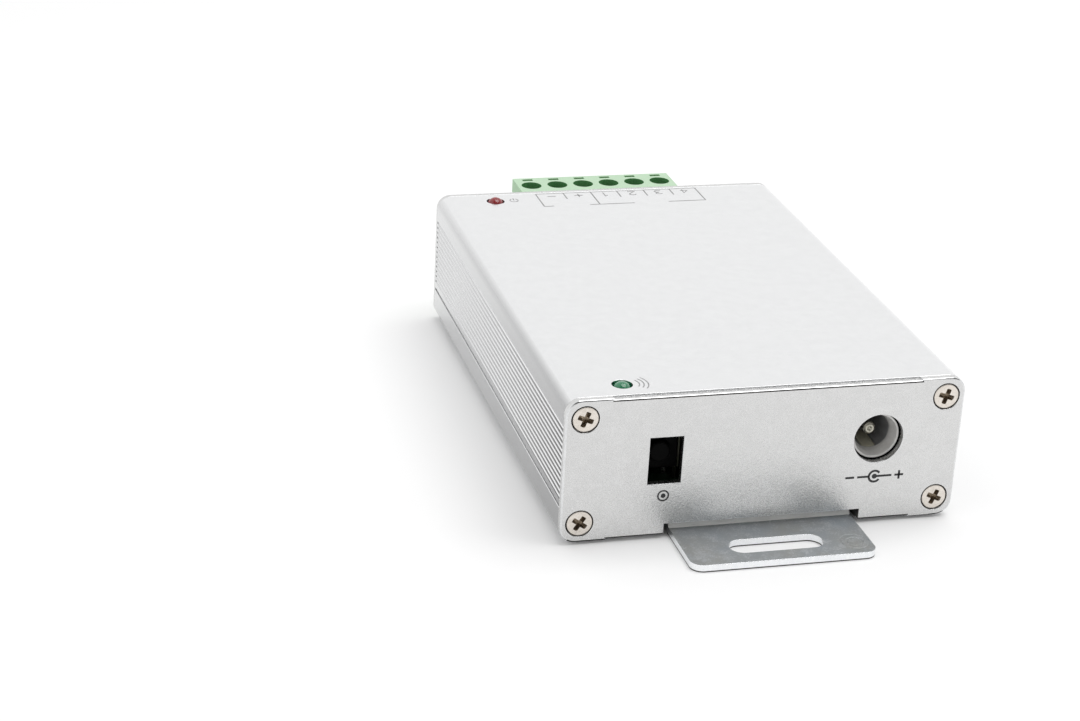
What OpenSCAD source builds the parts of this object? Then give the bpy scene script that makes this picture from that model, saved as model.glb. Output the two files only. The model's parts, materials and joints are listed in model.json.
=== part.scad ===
// Controller for light strips in an extruded aluminium case, on a steel mounting plate.
// Millimetres. X runs across the case, Y along it with the power jack at -Y, Z up from the surface below.

/* [Case] */
// Width over the two side walls
case_w = 65; // [60:0.5:75]
// Height from the underside to the top face
case_h = 24; // [23.6:0.1:30]
// Length of the extrusion between the end plates
case_l = 90.6; // [85:0.2:140]
// Radius of the four long edges
corner_r = 2.5; // [1.5:0.1:3]
// Thickness of the top wall
top_wall = 1.3; // [1:0.05:1.5]
// Thickness of the two side walls
side_wall = 1.6; // [1.3:0.05:2]
// Thickness of the bottom wall
floor_wall = 1.4; // [1.2:0.05:1.6]

/* [Side grooves] */
// Number of fine grooves along each side wall
groove_count = 13; // [0:1:14]
// Distance from one groove to the next
groove_pitch = 0.96; // [0.8:0.02:1.1]
// Height of the lowest fine groove above the underside of the case
groove_low = 7.5; // [7:0.1:8.5]
// Depth of a fine groove
groove_depth = 0.3; // [0.1:0.05:0.4]
// Height of the single wider groove above the underside of the case
seam_h = 5.9; // [5:0.1:6.3]
// Width of the wider groove
seam_w = 0.5; // [0.3:0.05:0.8]
// Depth of the wider groove
seam_depth = 0.45; // [0.2:0.05:0.6]

/* [End plates] */
// Thickness of an end plate
plate_t = 1.2; // [1.2:0.05:2]
// Distance from each side of the front plate to the recesses in its top and bottom edges
edge_margin = 7.5; // [6:0.5:12]
// Depth of those recesses
edge_recess = 0.2; // [0.1:0.05:0.6]
// Room at each side of the mounting plate in the notch of the bottom edge
notch_side_play = 1.1; // [0.3:0.1:2]
// Room above the mounting plate in that notch
notch_top_play = 0.15; // [0.1:0.05:0.3]
// Room round the terminal block in the window of the rear plate
window_play = 0.25; // [0.1:0.05:0.4]

/* [End plate screws] */
// Distance from the side of the case to a screw
screw_inset_x = 3.1; // [3:0.05:3.6]
// Distance from the top or the underside of the case to a screw
screw_inset_z = 3.2; // [3:0.05:3.5]
// Diameter of the screw's shank
screw_d = 2.1; // [1.8:0.1:2.3]
// Diameter of the countersunk head
screw_head_d = 4.1; // [4:0.1:4.6]
// Length of the screw from the face of its head
screw_l = 9; // [6:0.5:14]
// Radius of the screw channel's wall in the extrusion
boss_r = 2; // [1.9:0.05:2.2]

/* [Mounting plate] */
// Width of the steel plate
foot_w = 30.2; // [24:0.2:36]
// Thickness of the steel
foot_t = 1.2; // [1:0.05:1.5]
// Length of each ear beyond the end plate
foot_reach = 11.8; // [11:0.1:18]
// Radius of the corners of the ears
foot_corner_r = 2; // [0.5:0.1:4]
// How far the plate's middle lies above the ears
joggle = 1.1; // [0.8:0.05:1.4]
// Depth of the recess under the case that takes the plate
recess_depth = 1.9; // [1.6:0.05:1.9]
// How far the plate lies off the centre line of the case
foot_shift = 0.5; // [0:0.1:1]
// Length of the slot in each ear
slot_l = 15.4; // [8:0.2:18]
// Width of the slot
slot_w = 4.3; // [4.2:0.1:5]
// Distance from the end of the ear to the middle of the slot
slot_inset = 5.05; // [4:0.05:6]
// Distance between the two screws that hold the plate to the case
foot_screw_pitch = 60; // [40:1:70]

/* [Circuit board] */
// Thickness of the circuit board
board_t = 1.6; // [1.2:0.1:1.8]
// Height of the board's underside above the underside of the case
board_rise = 6.15; // [6:0.05:6.6]
// Room between each edge of the board and the side wall
board_play = 0.3; // [0.1:0.05:0.5]
// Room between each end of the board and its end plate
board_end_play = 0.6; // [0.3:0.1:1]
// Length of the tongue under the terminal block beyond the rear plate
tongue_l = 9.4; // [6:0.1:11]

/* [Power jack] */
// Distance from the side of the case to the jack's axis
jack_inset = 13.8; // [12:0.1:18]
// Height of the jack's axis above the board
jack_axis_h = 6.5; // [6.3:0.05:7]
// Width of the jack's body
jack_w = 9; // [8.6:0.1:10]
// Thickness of the jack's body over its barrel
jack_roof = 0.8; // [0.6:0.05:1.5]
// Length of the jack's body behind the end plate
jack_l = 12.5; // [12:0.1:14]
// Diameter of the round nose behind the end plate's hole
nose_d = 7.7; // [7.4:0.1:8]
// How far the nose lies behind the plate's face
nose_sink = 1.2; // [1:0.05:1.2]
// Room between the nose and the edge of the plate's hole
nose_play = 0.25; // [0.1:0.05:0.4]
// Diameter of the bore that takes the plug
jack_bore_d = 6; // [5.7:0.1:6.4]
// Depth of the bore behind the nose's front
jack_bore_l = 9.5; // [9:0.1:10.5]
// Diameter of the centre pin
pin_d = 2.1; // [1.9:0.1:2.5]

/* [Mode switch] */
// Distance from the side of the case to the switch's axis
switch_inset = 16.3; // [12:0.1:20]
// Height of the switch's axis above the board
switch_axis_h = 5.25; // [4.8:0.05:6]
// Width of the opening in the front plate
mode_hole_w = 5.4; // [4.6:0.1:6]
// Height of the opening in the front plate
mode_hole_h = 7.9; // [5:0.1:8.4]
// Width and height of the switch's case
switch_w = 6.2; // [6:0.1:6.8]
// Distance from the plate's face to the switch's case
switch_depth = 4; // [3:0.1:5]
// Diameter of the button
button_d = 3.5; // [3:0.1:3.8]
// How far the button stands out of its case
button_out = 1; // [0.5:0.1:1.4]
// Travel of the button
button_travel = 0.3; // [0.2:0.05:0.5]

/* [Terminal block] */
// Number of poles
poles = 6; // [6:1:6]
// Distance from one pole to the next
pole_pitch = 5.08; // [5:0.02:5.2]
// Height of the block above the board
block_h = 14.7; // [14:0.1:15]
// How far the block stands out of the rear plate
block_out = 11.6; // [11.4:0.1:12.4]
// How far the block lies off the centre line of the case
block_shift = 0.25; // [-1:0.05:1]
// Distance from the rear plate's face to the row of screws
pole_out = 7.4; // [7:0.1:7.6]
// Diameter of the holes over the screws
access_d = 3.8; // [3.7:0.05:4]
// Travel of a wire clamp from open to shut
clamp_travel = 2.3; // [1.8:0.1:2.4]

/* [Indicator lights] */
// Distance from the side of the case to both lights
led_inset = 10.1; // [8:0.1:14]
// Distance from the front plate's face to the signal light
signal_inset = 5.1; // [4.5:0.1:8]
// Distance from the rear plate's face to the power light
power_inset = 4.6; // [4.5:0.1:8]
// Diameter of the holes for the lights
led_hole_d = 3.3; // [3.3:0.1:3.7]
// Diameter of a light's lens
led_d = 3; // [2.9:0.05:3.1]
// Height of the signal light's top over the case
signal_proud = 0.4; // [-0.4:0.1:0.8]
// Height of the power light's top over the case
power_proud = 0.7; // [-0.4:0.1:0.8]

/* [Board parts] */
// Distance from the rear plate's face to the row of transistors
transistor_inset = 22.5; // [18:0.5:26]
// Distance from one transistor to the next
transistor_pitch = 13; // [11:0.5:15]
// Diameter of the storage capacitor
capacitor_d = 10; // [8:0.5:11]
// Room above the storage capacitor
capacitor_room = 2.45; // [1:0.05:6]
// Length of the receiver's own small board
receiver_l = 19; // [16:0.5:22]
// Room above the receiver's own small board
receiver_room = 3.45; // [1:0.05:6]
// Length of the aerial wire along the board
aerial_l = 42; // [30:1:46]

/* [Hidden] */
$fn = 48;

// How far a cut runs past the face that it opens
overrun = 1;
// Room round a pin or a leg in its hole in the board
leg_play = 0.1;
// How far legs stand out under the board
leg_out = 1.6;

// Places that follow from the sizes above
inner_w = case_w - 2*side_wall;
front_y = -case_l/2 - plate_t;
rear_y = case_l/2 + plate_t;
base_z = joggle + foot_t - recess_depth;
top_z = base_z + case_h;
board_z = base_z + board_rise;
board_top = board_z + board_t;
leg_end = board_z - leg_out;
board_edge = inner_w/2 - board_play;
room_h = top_z - top_wall - board_top;

// Rails that hold the board, and the deck over the recess
rail_t = 1.2;
rail_reach = 1;
rail_play = 0.1;
deck_h = recess_depth + floor_wall;
recess_w = foot_w + 2*notch_side_play;

// Screw channels: their places, their bore and the slot along each
screw_x = case_w/2 - screw_inset_x;
screw_heights = [screw_inset_z, case_h - screw_inset_z];
pilot_play = 0.05;
channel_slot = 1;

// Countersunk heads: how deep they lie, the rim, the cone, their room and the cross
head_sink = 0.2;
head_rim = 0.15;
head_cone = 0.8;
head_play = 0.2;
cross_l = 2.4;
cross_w = 0.7;
cross_depth = 0.75;
tip_l = 1;
// Turn of the cross in each screw, in degrees
front_turns = [-24, -8, 38, 14];
rear_turns = [12, 50, -30, 27];

// Screws that hold the mounting plate
foot_screw_d = 2.8;
foot_screw_head_d = 4.8;
foot_screw_short = 0.1;
foot_screw_tip = 0.3;

// Bends of the mounting plate, and the rings stamped in its ears
bend_in = 1.9;
bend_lead = foot_t*tan(45/2);
mark_x = 12.5;
mark_inset = 3.8;
mark_rs = [2.4, 1.4];
mark_w = 0.25;
mark_depth = 0.1;

// Insulating sheet under the board
sheet_t = 0.2;
sheet_play = 0.4;

// Power jack: the mouth's cone, the gap behind the plate and the contacts
jack_x = case_w/2 - jack_inset;
jack_z = board_top + jack_axis_h;
jack_gap = 0.3;
jack_nose_l = plate_t - nose_sink + jack_gap;
nose_y = front_y + nose_sink;
jack_front = nose_y + jack_nose_l;
jack_rear = jack_front + jack_l;
mouth_d = 7.1;
mouth_l = 2.1;
barrel_d = 7.4;
barrel_play = 0.05;
jack_h = jack_axis_h + barrel_d/2 + jack_roof;
pin_sink = 2.5;
pin_play = 0.05;
pin_dimple_d = 0.8;
pin_dimple_l = 0.4;
pin_chamfer = 0.35;
pin_root_d = 2.6;
rivet_d = 3.4;
rivet_t = 0.4;
contact_t = 0.3;
contact_w = 2.2;
contact_play = 0.2;
contact_back = 1;
contact_lift = 0.1;
contact_bow = 0.45;
contact_bow_share = 0.6;
side_contact_y = 6;
side_contact_in = 0.35;
centre_contact_w = 4;
jack_leaf_back = nose_y + jack_bore_l - contact_back;
jack_leaf_front = nose_y + mouth_l + contact_play;
jack_side_x = jack_x - jack_w/2 + contact_t/2;

// Mode switch: skin, cavity, flange, nub, dome, base and bracket
switch_x = -case_w/2 + switch_inset;
switch_z = board_top + switch_axis_h;
switch_y = front_y + switch_depth;
switch_case_t = 2.6;
switch_skin = 0.6;
switch_cavity_d = 5;
switch_base_t = 1;
button_play = 0.1;
button_flange_d = 4.6;
button_flange_t = 0.5;
button_gap = 0.05;
button_chamfer = 0.25;
nub_d = 1.4;
nub_l = 0.6;
dome_d = 4.6;
dome_t = 0.12;
dome_top = switch_skin + button_gap + button_flange_t + nub_l + button_travel + button_gap;
dome_rise = switch_case_t - dome_top;
dome_ball_r = (dome_d*dome_d/4 + dome_rise*dome_rise)/(2*dome_rise);
bracket_t = 0.3;
bracket_gap = 0.05;
bracket_lead = 0.3;
bracket_leg_w = 1.1;
switch_contact_w = 0.8;
switch_contact_x = 2.1;
bracket_x = switch_w/2 + bracket_gap + bracket_t/2;
bracket_leg_y = switch_case_t/2;
switch_contact_y = switch_y + switch_case_t + switch_base_t/2;

// Terminal block: walls, clamp, bar and screw
block_side = 0.15;
block_w = poles*pole_pitch + 2*block_side;
block_front = case_l/2;
block_rear = rear_y + block_out;
pole_y = rear_y + pole_out;
pole_xs = [for (i = [0:poles - 1]) block_shift + (i - (poles - 1)/2)*pole_pitch];
block_floor = 0.9;
clamp_w = 4.2;
clamp_d = 4.6;
clamp_h = 6;
clamp_wall = 0.6;
clamp_floor = 0.8;
clamp_roof = 1.2;
clamp_gap = 0.2;
clamp_play = 0.1;
clamp_low = block_floor + clamp_gap;
ledge_t = 0.8;
ledge_h = clamp_low + clamp_h + clamp_travel + clamp_gap;
seat_h = ledge_h + ledge_t;
bar_w = 2.6;
bar_t = 0.9;
bar_gap = 0.25;
bar_reach = 1.7;
bar_h = clamp_low + clamp_floor + clamp_travel + bar_gap;
bar_leg_gap = 0.3;
bar_leg_w = 1.2;
bar_leg_y = pole_y - clamp_d/2 - clamp_play - bar_leg_gap - bar_t;
bar_slot_play = 0.1;
bar_leg_out = 2.4;
clamp_screw_d = 2.9;
clamp_screw_play = 0.1;
clamp_screw_gap = 0.1;
clamp_head_d = 3.6;
clamp_head_t = 1.8;
clamp_slot_w = 0.6;
clamp_slot_t = 0.9;
entry_w = 3.6;
entry_h = 3.2;
entry_mouth_w = 4.3;
entry_mouth_h = 4.6;
entry_mouth_l = 0.7;
entry_low = clamp_low + clamp_floor;
top_slot_w = 2;
top_slot_l = 0.9;
top_slot_back = 1.1;
top_slot_depth = 1.6;

// Lights: body, flange and leads
led_x = -case_w/2 + led_inset;
led_h = 5.2;
led_flange_d = 3.8;
led_flange_t = 1;
lead_w = 0.45;
lead_gap = 2.54;

// Transistors
transistor_y = rear_y - transistor_inset;
transistor_w = 6.6;
transistor_l = 6.1;
transistor_h = 2.3;
transistor_tab_w = 5.2;
transistor_tab_l = 1.4;
transistor_tab_t = 0.5;
transistor_lead_w = 0.8;
transistor_lead_l = 2.6;
transistor_lead_x = 2.28;
transistor_count = 3;

// Control chip
chip_lead_under = 0.5;
chip_inset = 14.6;
chip_x = chip_inset - board_edge;
chip_y = 2;
chip_w = 3.9;
chip_l = 9.9;
chip_h = 1.4;
chip_pitch = 1.27;
chip_lead_pairs = 7;
chip_lead_w = 0.42;
chip_lead_l = 1;
chip_lead_t = 0.25;

// Regulator
regulator_share = 0.13;
regulator_x = board_edge*regulator_share;
regulator_y = 8;
regulator_d = 4.8;
regulator_flat = 1.2;
regulator_h = 4.6;
regulator_lift = 2;
regulator_pitch = 1.27;

// Storage capacitor
capacitor_side = 12.6;
capacitor_inset = 26.5;
capacitor_x = board_edge - capacitor_side;
capacitor_y = front_y + capacitor_inset;
capacitor_h = room_h - capacitor_room;
sleeve_t = 0.2;
sleeve_short = 0.3;
capacitor_pitch = 5;

// Receiver
receiver_side = 32.6;
receiver_inset = 20.5;
receiver_x = board_edge - receiver_side;
receiver_y = front_y + receiver_inset;
receiver_t = 0.8;
receiver_lift = 1.5;
receiver_h = room_h - receiver_room - receiver_lift;
receiver_pin_w = 0.6;
receiver_pin_xs = [for (i = [0:3]) receiver_x - receiver_l/2 + receiver_pin_w + i*lead_gap];
resonator_d = 7;
resonator_h = 3;
resonator_side = 4;
aerial_d = 0.8;
aerial_side = 1;
aerial_drop = 1.5;

// Diode
diode_side = 14.6;
diode_x = board_edge - diode_side;
diode_y = 0;
diode_w = 4.3;
diode_l = 6.9;
diode_h = 2.3;
diode_lead_w = 3;
diode_lead_l = 0.9;
diode_lead_t = 0.3;

// Chip resistors and capacitors, in rows
chip_part_w = 1.25;
chip_part_l = 2;
resistor_t = 0.5;
resistor_count = 8;
resistor_side = 6.6;
resistor_x = resistor_side - board_edge;
resistor_y = -8;
resistor_pitch = 3.2;
ceramic_t = 0.9;
ceramic_count = 5;
ceramic_side = 22.6;
ceramic_x = ceramic_side - board_edge;
ceramic_y = -2;
ceramic_pitch = 3.6;

// A box with its middle at x, from y and z onwards
module box(x, y, z, size) {
    translate([x - size[0]/2, y, z]) cube(size);
}

// An upright rectangle with four round corners, standing on its lower edge
module round_outline(w, h, r) {
    translate([-w/2 + r, 0]) square([w - 2*r, h]);
    translate([-w/2, r]) square([w, h - 2*r]);
    for (side = [-1, 1], level = [r, h - r])
        translate([side*(w/2 - r), level]) circle(r);
}

// A strip on the inside of a side wall, running into the wall for half its thickness
module wall_strip(side, low, high) {
    wide = rail_reach + side_wall/2;
    middle = inner_w/2 - rail_reach + wide/2;
    translate([side*middle - wide/2, low]) square([wide, high - low]);
}

// The hollow of the case, with a pocket at each side of the recess for the mounting plate
module room_outline() {
    translate([-inner_w/2, deck_h]) square([inner_w, case_h - top_wall - deck_h]);
    for (side = [-1, 1]) {
        near = recess_w/2 + floor_wall + side*foot_shift;
        wide = inner_w/2 - near;
        translate([side*(near + wide/2) - wide/2, floor_wall]) square([wide, case_h/2 - floor_wall]);
    }
}

// Cross section of the extrusion, standing on its underside
module case_section() {
    groove_top = board_rise + board_t + rail_play;
    difference() {
        union() {
            difference() {
                round_outline(case_w, case_h, corner_r);
                room_outline();
            }
            for (side = [-1, 1]) {
                wall_strip(side, board_rise - rail_t, board_rise);
                wall_strip(side, groove_top, groove_top + rail_t);
                for (level = screw_heights)
                    translate([side*screw_x, level]) circle(boss_r);
            }
        }
        translate([foot_shift - recess_w/2, -overrun]) square([recess_w, recess_depth + overrun]);
        for (side = [-1, 1]) {
            for (level = screw_heights) {
                translate([side*screw_x, level]) circle(screw_d/2 + pilot_play);
                translate([side*(screw_x - boss_r), level]) square([2*boss_r, channel_slot], center = true);
            }
            translate([side*case_w/2, seam_h]) square([2*seam_depth, seam_w], center = true);
            for (i = [0:1:groove_count - 1])
                translate([side*case_w/2, groove_low + i*groove_pitch])
                    rotate(45) square(groove_depth*sqrt(2), center = true);
        }
    }
}

module case_shell() {
    color("gainsboro")
    difference() {
        translate([0, case_l/2, base_z]) rotate([90, 0, 0]) linear_extrude(case_l) case_section();
        for (y = [front_y + signal_inset, rear_y - power_inset])
            translate([led_x, y, top_z - top_wall - overrun])
                cylinder(d = led_hole_d, h = top_wall + 2*overrun);
        for (side = [-1, 1])
            translate([foot_shift, side*foot_screw_pitch/2, base_z])
                cylinder(d = foot_screw_d + 2*pilot_play, h = deck_h + overrun);
    }
}

// A countersunk hole along +Z, opening at z = 0
module countersink(head_d, shank_d, depth) {
    translate([0, 0, -overrun]) cylinder(d = head_d + 2*head_play, h = overrun + head_sink + head_rim);
    translate([0, 0, head_sink + head_rim])
        cylinder(d1 = head_d + 2*head_play, d2 = shank_d + 2*head_play, h = head_cone);
    cylinder(d = shank_d + 2*head_play, h = depth + overrun);
}

// A countersunk screw along +Z with a cross in its head, whose face is at z = 0
module countersunk_screw(head_d, shank_d, length, tip, turn) {
    difference() {
        union() {
            cylinder(d = head_d, h = head_rim);
            translate([0, 0, head_rim]) cylinder(d1 = head_d, d2 = shank_d, h = head_cone);
            cylinder(d = shank_d, h = length - tip);
            translate([0, 0, length - tip]) cylinder(d1 = shank_d, d2 = shank_d/2, h = tip);
        }
        for (quarter = [0, 90])
            rotate(turn + quarter) cube([cross_l, cross_w, 2*cross_depth], center = true);
    }
}

// An end plate with its outer face at y = 0, looking to -Y
module plate_blank(recess) {
    notch_w = foot_w + 2*notch_side_play;
    notch_h = recess_depth + notch_top_play;
    difference() {
        translate([0, plate_t, 0]) rotate([90, 0, 0]) linear_extrude(plate_t) difference() {
            round_outline(case_w, case_h, corner_r);
            for (level = [-overrun, case_h - recess])
                translate([-case_w/2 + edge_margin, level])
                    square([case_w - 2*edge_margin, recess + overrun]);
            translate([foot_shift - notch_w/2, -overrun]) square([notch_w, notch_h + overrun]);
        }
        for (side = [-1, 1], level = screw_heights)
            translate([side*screw_x, 0, level]) rotate([-90, 0, 0])
                countersink(screw_head_d, screw_d, plate_t);
    }
}

module front_plate() {
    color("silver")
    difference() {
        translate([0, front_y, base_z]) plate_blank(edge_recess);
        translate([jack_x, front_y - overrun, jack_z]) rotate([-90, 0, 0])
            cylinder(d = nose_d + 2*nose_play, h = plate_t + 2*overrun);
        box(switch_x, front_y - overrun, switch_z - mode_hole_h/2,
            [mode_hole_w, plate_t + 2*overrun, mode_hole_h]);
    }
}

module rear_plate() {
    color("silver")
    difference() {
        translate([0, rear_y, base_z]) mirror([0, 1, 0]) plate_blank(0);
        box(block_shift, rear_y - plate_t - overrun, board_z - window_play,
            [block_w + 2*window_play, plate_t + 2*overrun, board_t + block_h + 2*window_play]);
    }
}

// Four screws of an end plate, with their heads' faces just inside the plate's face
module plate_screws(turns) {
    for (i = [0:3]) {
        side = i%2 == 0 ? -1 : 1;
        translate([side*screw_x, head_sink, screw_heights[floor(i/2)]]) rotate([-90, 0, 0])
            countersunk_screw(screw_head_d, screw_d, screw_l, tip_l, turns[i]);
    }
}

module front_plate_screws() {
    color("tan") translate([0, front_y, base_z]) plate_screws(front_turns);
}

module rear_plate_screws() {
    color("tan") translate([0, rear_y, base_z]) mirror([0, 1, 0]) plate_screws(rear_turns);
}

// Side view of the mounting plate: flat in the middle, stepping down to an ear at each end
module foot_side_view() {
    drop = rear_y - bend_in;
    end = rear_y + foot_reach;
    upper = [[drop, joggle + foot_t], [drop + joggle, foot_t], [end, foot_t]];
    lower = [[end, 0], [drop + joggle - bend_lead, 0], [drop - bend_lead, joggle]];
    half = concat(upper, lower);
    polygon(concat(half, [for (i = [len(half) - 1:-1:0]) [-half[i][0], half[i][1]]]));
}

// A ring cut to stamp a mark, with r its outer radius
module ring(r) {
    difference() {
        cylinder(r = r, h = overrun);
        translate([0, 0, -overrun]) cylinder(r = r - mark_w, h = 3*overrun);
    }
}

module mounting_plate() {
    end = rear_y + foot_reach;
    plate_top = joggle + foot_t;
    color("slategray")
    difference() {
        intersection() {
            translate([foot_shift - foot_w/2, 0, 0]) rotate([90, 0, 90])
                linear_extrude(foot_w) foot_side_view();
            translate([foot_shift, -end, -overrun]) linear_extrude(plate_top + 2*overrun)
                round_outline(foot_w, 2*end, foot_corner_r);
        }
        for (side = [-1, 1]) {
            translate([foot_shift, side*(end - slot_inset), -overrun]) {
                for (tip = [-1, 1])
                    translate([tip*(slot_l - slot_w)/2, 0, 0]) cylinder(d = slot_w, h = foot_t + 2*overrun);
                box(0, -slot_w/2, 0, [slot_l - slot_w, slot_w, foot_t + 2*overrun]);
            }
            for (r = mark_rs)
                translate([foot_shift + mark_x, side*(end - mark_inset), foot_t - mark_depth]) ring(r);
            translate([foot_shift, side*foot_screw_pitch/2, joggle])
                countersink(foot_screw_head_d, foot_screw_d, foot_t);
        }
    }
}

module mounting_plate_screws() {
    length = foot_t + floor_wall - head_sink - foot_screw_short;
    color("silver")
    for (side = [-1, 1])
        translate([foot_shift, side*foot_screw_pitch/2, joggle + head_sink])
            countersunk_screw(foot_screw_head_d, foot_screw_d, length, foot_screw_tip, front_turns[0]);
}

// A hole through the board at x and y for a leg of the given width
module board_hole(x, y, w) {
    translate([x, y, board_z - overrun]) cylinder(d = w*sqrt(2) + 2*leg_play, h = board_t + 2*overrun);
}

module circuit_board() {
    main_l = case_l - 2*board_end_play;
    color("darkgreen")
    difference() {
        union() {
            box(0, -main_l/2, board_z, [inner_w - 2*board_play, main_l, board_t]);
            box(block_shift, 0, board_z, [block_w, rear_y + tongue_l, board_t]);
        }
        for (x = pole_xs) board_hole(x, bar_leg_y + bar_t/2, bar_leg_w);
        for (x = [-1, 1]*lead_gap/2, y = [front_y + signal_inset, rear_y - power_inset])
            board_hole(led_x + x, y, lead_w);
        for (x = [-1, 1]*capacitor_pitch/2)
            board_hole(capacitor_x + x, capacitor_y, lead_w);
        for (x = [-1, 0, 1]*regulator_pitch)
            board_hole(regulator_x + x, regulator_y, lead_w);
        for (x = receiver_pin_xs)
            board_hole(x, receiver_y, receiver_pin_w);
        for (side = [-1, 1]) {
            board_hole(switch_x + side*switch_contact_x, switch_contact_y, switch_contact_w);
            board_hole(switch_x + side*bracket_x, switch_y + bracket_leg_y, bracket_leg_w);
        }
        board_hole(jack_x, jack_leaf_back - contact_t/2, contact_w);
        board_hole(jack_x, jack_rear + contact_t/2, centre_contact_w/2);
        board_hole(jack_side_x, jack_front + side_contact_y, contact_w);
    }
}

module insulating_sheet() {
    sheet_w = 2*(screw_x - boss_r - sheet_play);
    sheet_l = case_l - 2*board_end_play;
    color("whitesmoke") box(0, -sheet_l/2, base_z + deck_h, [sheet_w, sheet_l, sheet_t]);
}

// The cuts that let the sleeve contact and the side contact into the bore
module jack_contact_cuts() {
    cut_w = contact_w + 2*contact_play;
    cut_t = contact_t + 2*contact_play;
    leaf_l = jack_leaf_back + contact_play - jack_leaf_front;
    side_y = jack_front + side_contact_y - cut_w/2;
    bore_r = jack_bore_d/2;
    box(jack_x, jack_leaf_front, board_top - overrun, [cut_w, leaf_l, jack_axis_h - bore_r/2 + overrun]);
    box(jack_side_x, side_y, board_top - overrun,
        [cut_t, cut_w, jack_axis_h + contact_w/2 + contact_play + overrun]);
    box(jack_x - bore_r, side_y, jack_z - cut_t/2, [jack_w/2, cut_w, cut_t]);
}

module jack_body() {
    color("dimgray")
    difference() {
        box(jack_x, jack_front, board_top, [jack_w, jack_l, jack_h]);
        translate([jack_x, nose_y, jack_z]) rotate([-90, 0, 0]) {
            cylinder(d = barrel_d + 2*barrel_play, h = jack_bore_l);
            cylinder(d = pin_root_d + 2*pin_play, h = jack_nose_l + jack_l + overrun);
        }
        jack_contact_cuts();
    }
}

// Plated barrel with a conical mouth, whose wider nose faces the end plate's hole
module jack_barrel() {
    color("silver")
    difference() {
        translate([jack_x, nose_y, jack_z]) rotate([-90, 0, 0]) {
            cylinder(d = nose_d, h = jack_nose_l);
            cylinder(d = barrel_d, h = jack_bore_l);
        }
        translate([jack_x, nose_y, jack_z]) rotate([-90, 0, 0]) {
            cylinder(d1 = mouth_d, d2 = jack_bore_d, h = mouth_l);
            translate([0, 0, -overrun]) cylinder(d = jack_bore_d, h = jack_bore_l + 2*overrun);
        }
        jack_contact_cuts();
    }
}

// Round pin with a dimple in its tip and a thicker root, headed over behind its contact
module jack_centre_pin() {
    r = pin_d/2;
    root_r = pin_root_d/2;
    free = jack_bore_l - pin_sink;
    length = jack_rear + contact_t + rivet_t - nose_y - pin_sink;
    color("gainsboro")
    translate([jack_x, nose_y + pin_sink, jack_z]) rotate([-90, 0, 0]) rotate_extrude()
        polygon([[0, pin_dimple_l], [pin_dimple_d/2, 0], [r - pin_chamfer, 0], [r, pin_chamfer],
            [r, free], [root_r, free], [root_r, length - rivet_t], [rivet_d/2, length - rivet_t],
            [rivet_d/2, length], [0, length]]);
}

module jack_centre_contact() {
    color("gainsboro")
    difference() {
        union() {
            box(jack_x, jack_rear, board_top, [centre_contact_w, contact_t, jack_axis_h + rivet_d/2]);
            box(jack_x, jack_rear, leg_end, [centre_contact_w/2, contact_t, board_top - leg_end + rivet_t]);
        }
        translate([jack_x, jack_rear - overrun, jack_z]) rotate([-90, 0, 0])
            cylinder(d = pin_root_d + 2*pin_play, h = contact_t + 2*overrun);
    }
}

// Springy strip in the floor of the bore, bowed up towards the plug, with its leg at the back
module jack_sleeve_contact() {
    low = jack_z - jack_bore_d/2 + contact_lift;
    span = jack_leaf_back - jack_leaf_front;
    bow_at = jack_leaf_front + span*contact_bow_share;
    color("gold")
    union() {
        translate([jack_x - contact_w/2, 0, 0]) rotate([90, 0, 90]) linear_extrude(contact_w)
            polygon([[jack_leaf_front, low], [bow_at, low + contact_bow], [jack_leaf_back, low],
                [jack_leaf_back, low - contact_t], [bow_at, low + contact_bow - contact_t],
                [jack_leaf_front, low - contact_t]]);
        box(jack_x, jack_leaf_back - contact_t, leg_end, [contact_w, contact_t, low - leg_end]);
    }
}

// Contact in the jack's side wall, with a tongue that reaches through to the bore
module jack_side_contact() {
    mid_y = jack_front + side_contact_y;
    tongue_x = jack_x - jack_bore_d/2 + side_contact_in;
    color("gainsboro") {
        box(jack_side_x, mid_y - contact_w/2, leg_end,
            [contact_t, contact_w, jack_z + contact_w/2 - leg_end]);
        translate([jack_side_x, mid_y - contact_w/2, jack_z - contact_t/2])
            cube([tongue_x - jack_side_x, contact_w, contact_t]);
    }
}

// Turns a shape made along +Z from the switch's front face so that it runs along +Y there
module at_switch() {
    translate([switch_x, switch_y, switch_z]) rotate([-90, 0, 0]) children();
}

module switch_case() {
    color("black")
    difference() {
        box(switch_x, switch_y, switch_z - switch_w/2, [switch_w, switch_case_t, switch_w]);
        at_switch() {
            translate([0, 0, -overrun]) cylinder(d = button_d + 2*button_play, h = switch_case_t);
            translate([0, 0, switch_skin]) cylinder(d = switch_cavity_d, h = switch_case_t);
        }
    }
}

module switch_base() {
    color("black")
    difference() {
        box(switch_x, switch_y + switch_case_t, switch_z - switch_w/2, [switch_w, switch_base_t, switch_w]);
        for (side = [-1, 1])
            box(switch_x + side*switch_contact_x, switch_contact_y - contact_t/2 - leg_play,
                switch_z - switch_w/2 - overrun,
                [switch_contact_w + 2*leg_play, contact_t + 2*leg_play, switch_w/2 + overrun]);
    }
}

// Thin domed disc that snaps when the button presses it
module switch_dome() {
    color("silver")
    at_switch() translate([0, 0, switch_case_t]) rotate_extrude() intersection() {
        difference() {
            translate([0, dome_ball_r - dome_rise]) circle(dome_ball_r, $fn = 180);
            translate([0, dome_ball_r - dome_rise]) circle(dome_ball_r - dome_t, $fn = 180);
        }
        translate([0, -dome_rise - overrun]) square([dome_d, dome_rise + overrun]);
    }
}

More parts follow.
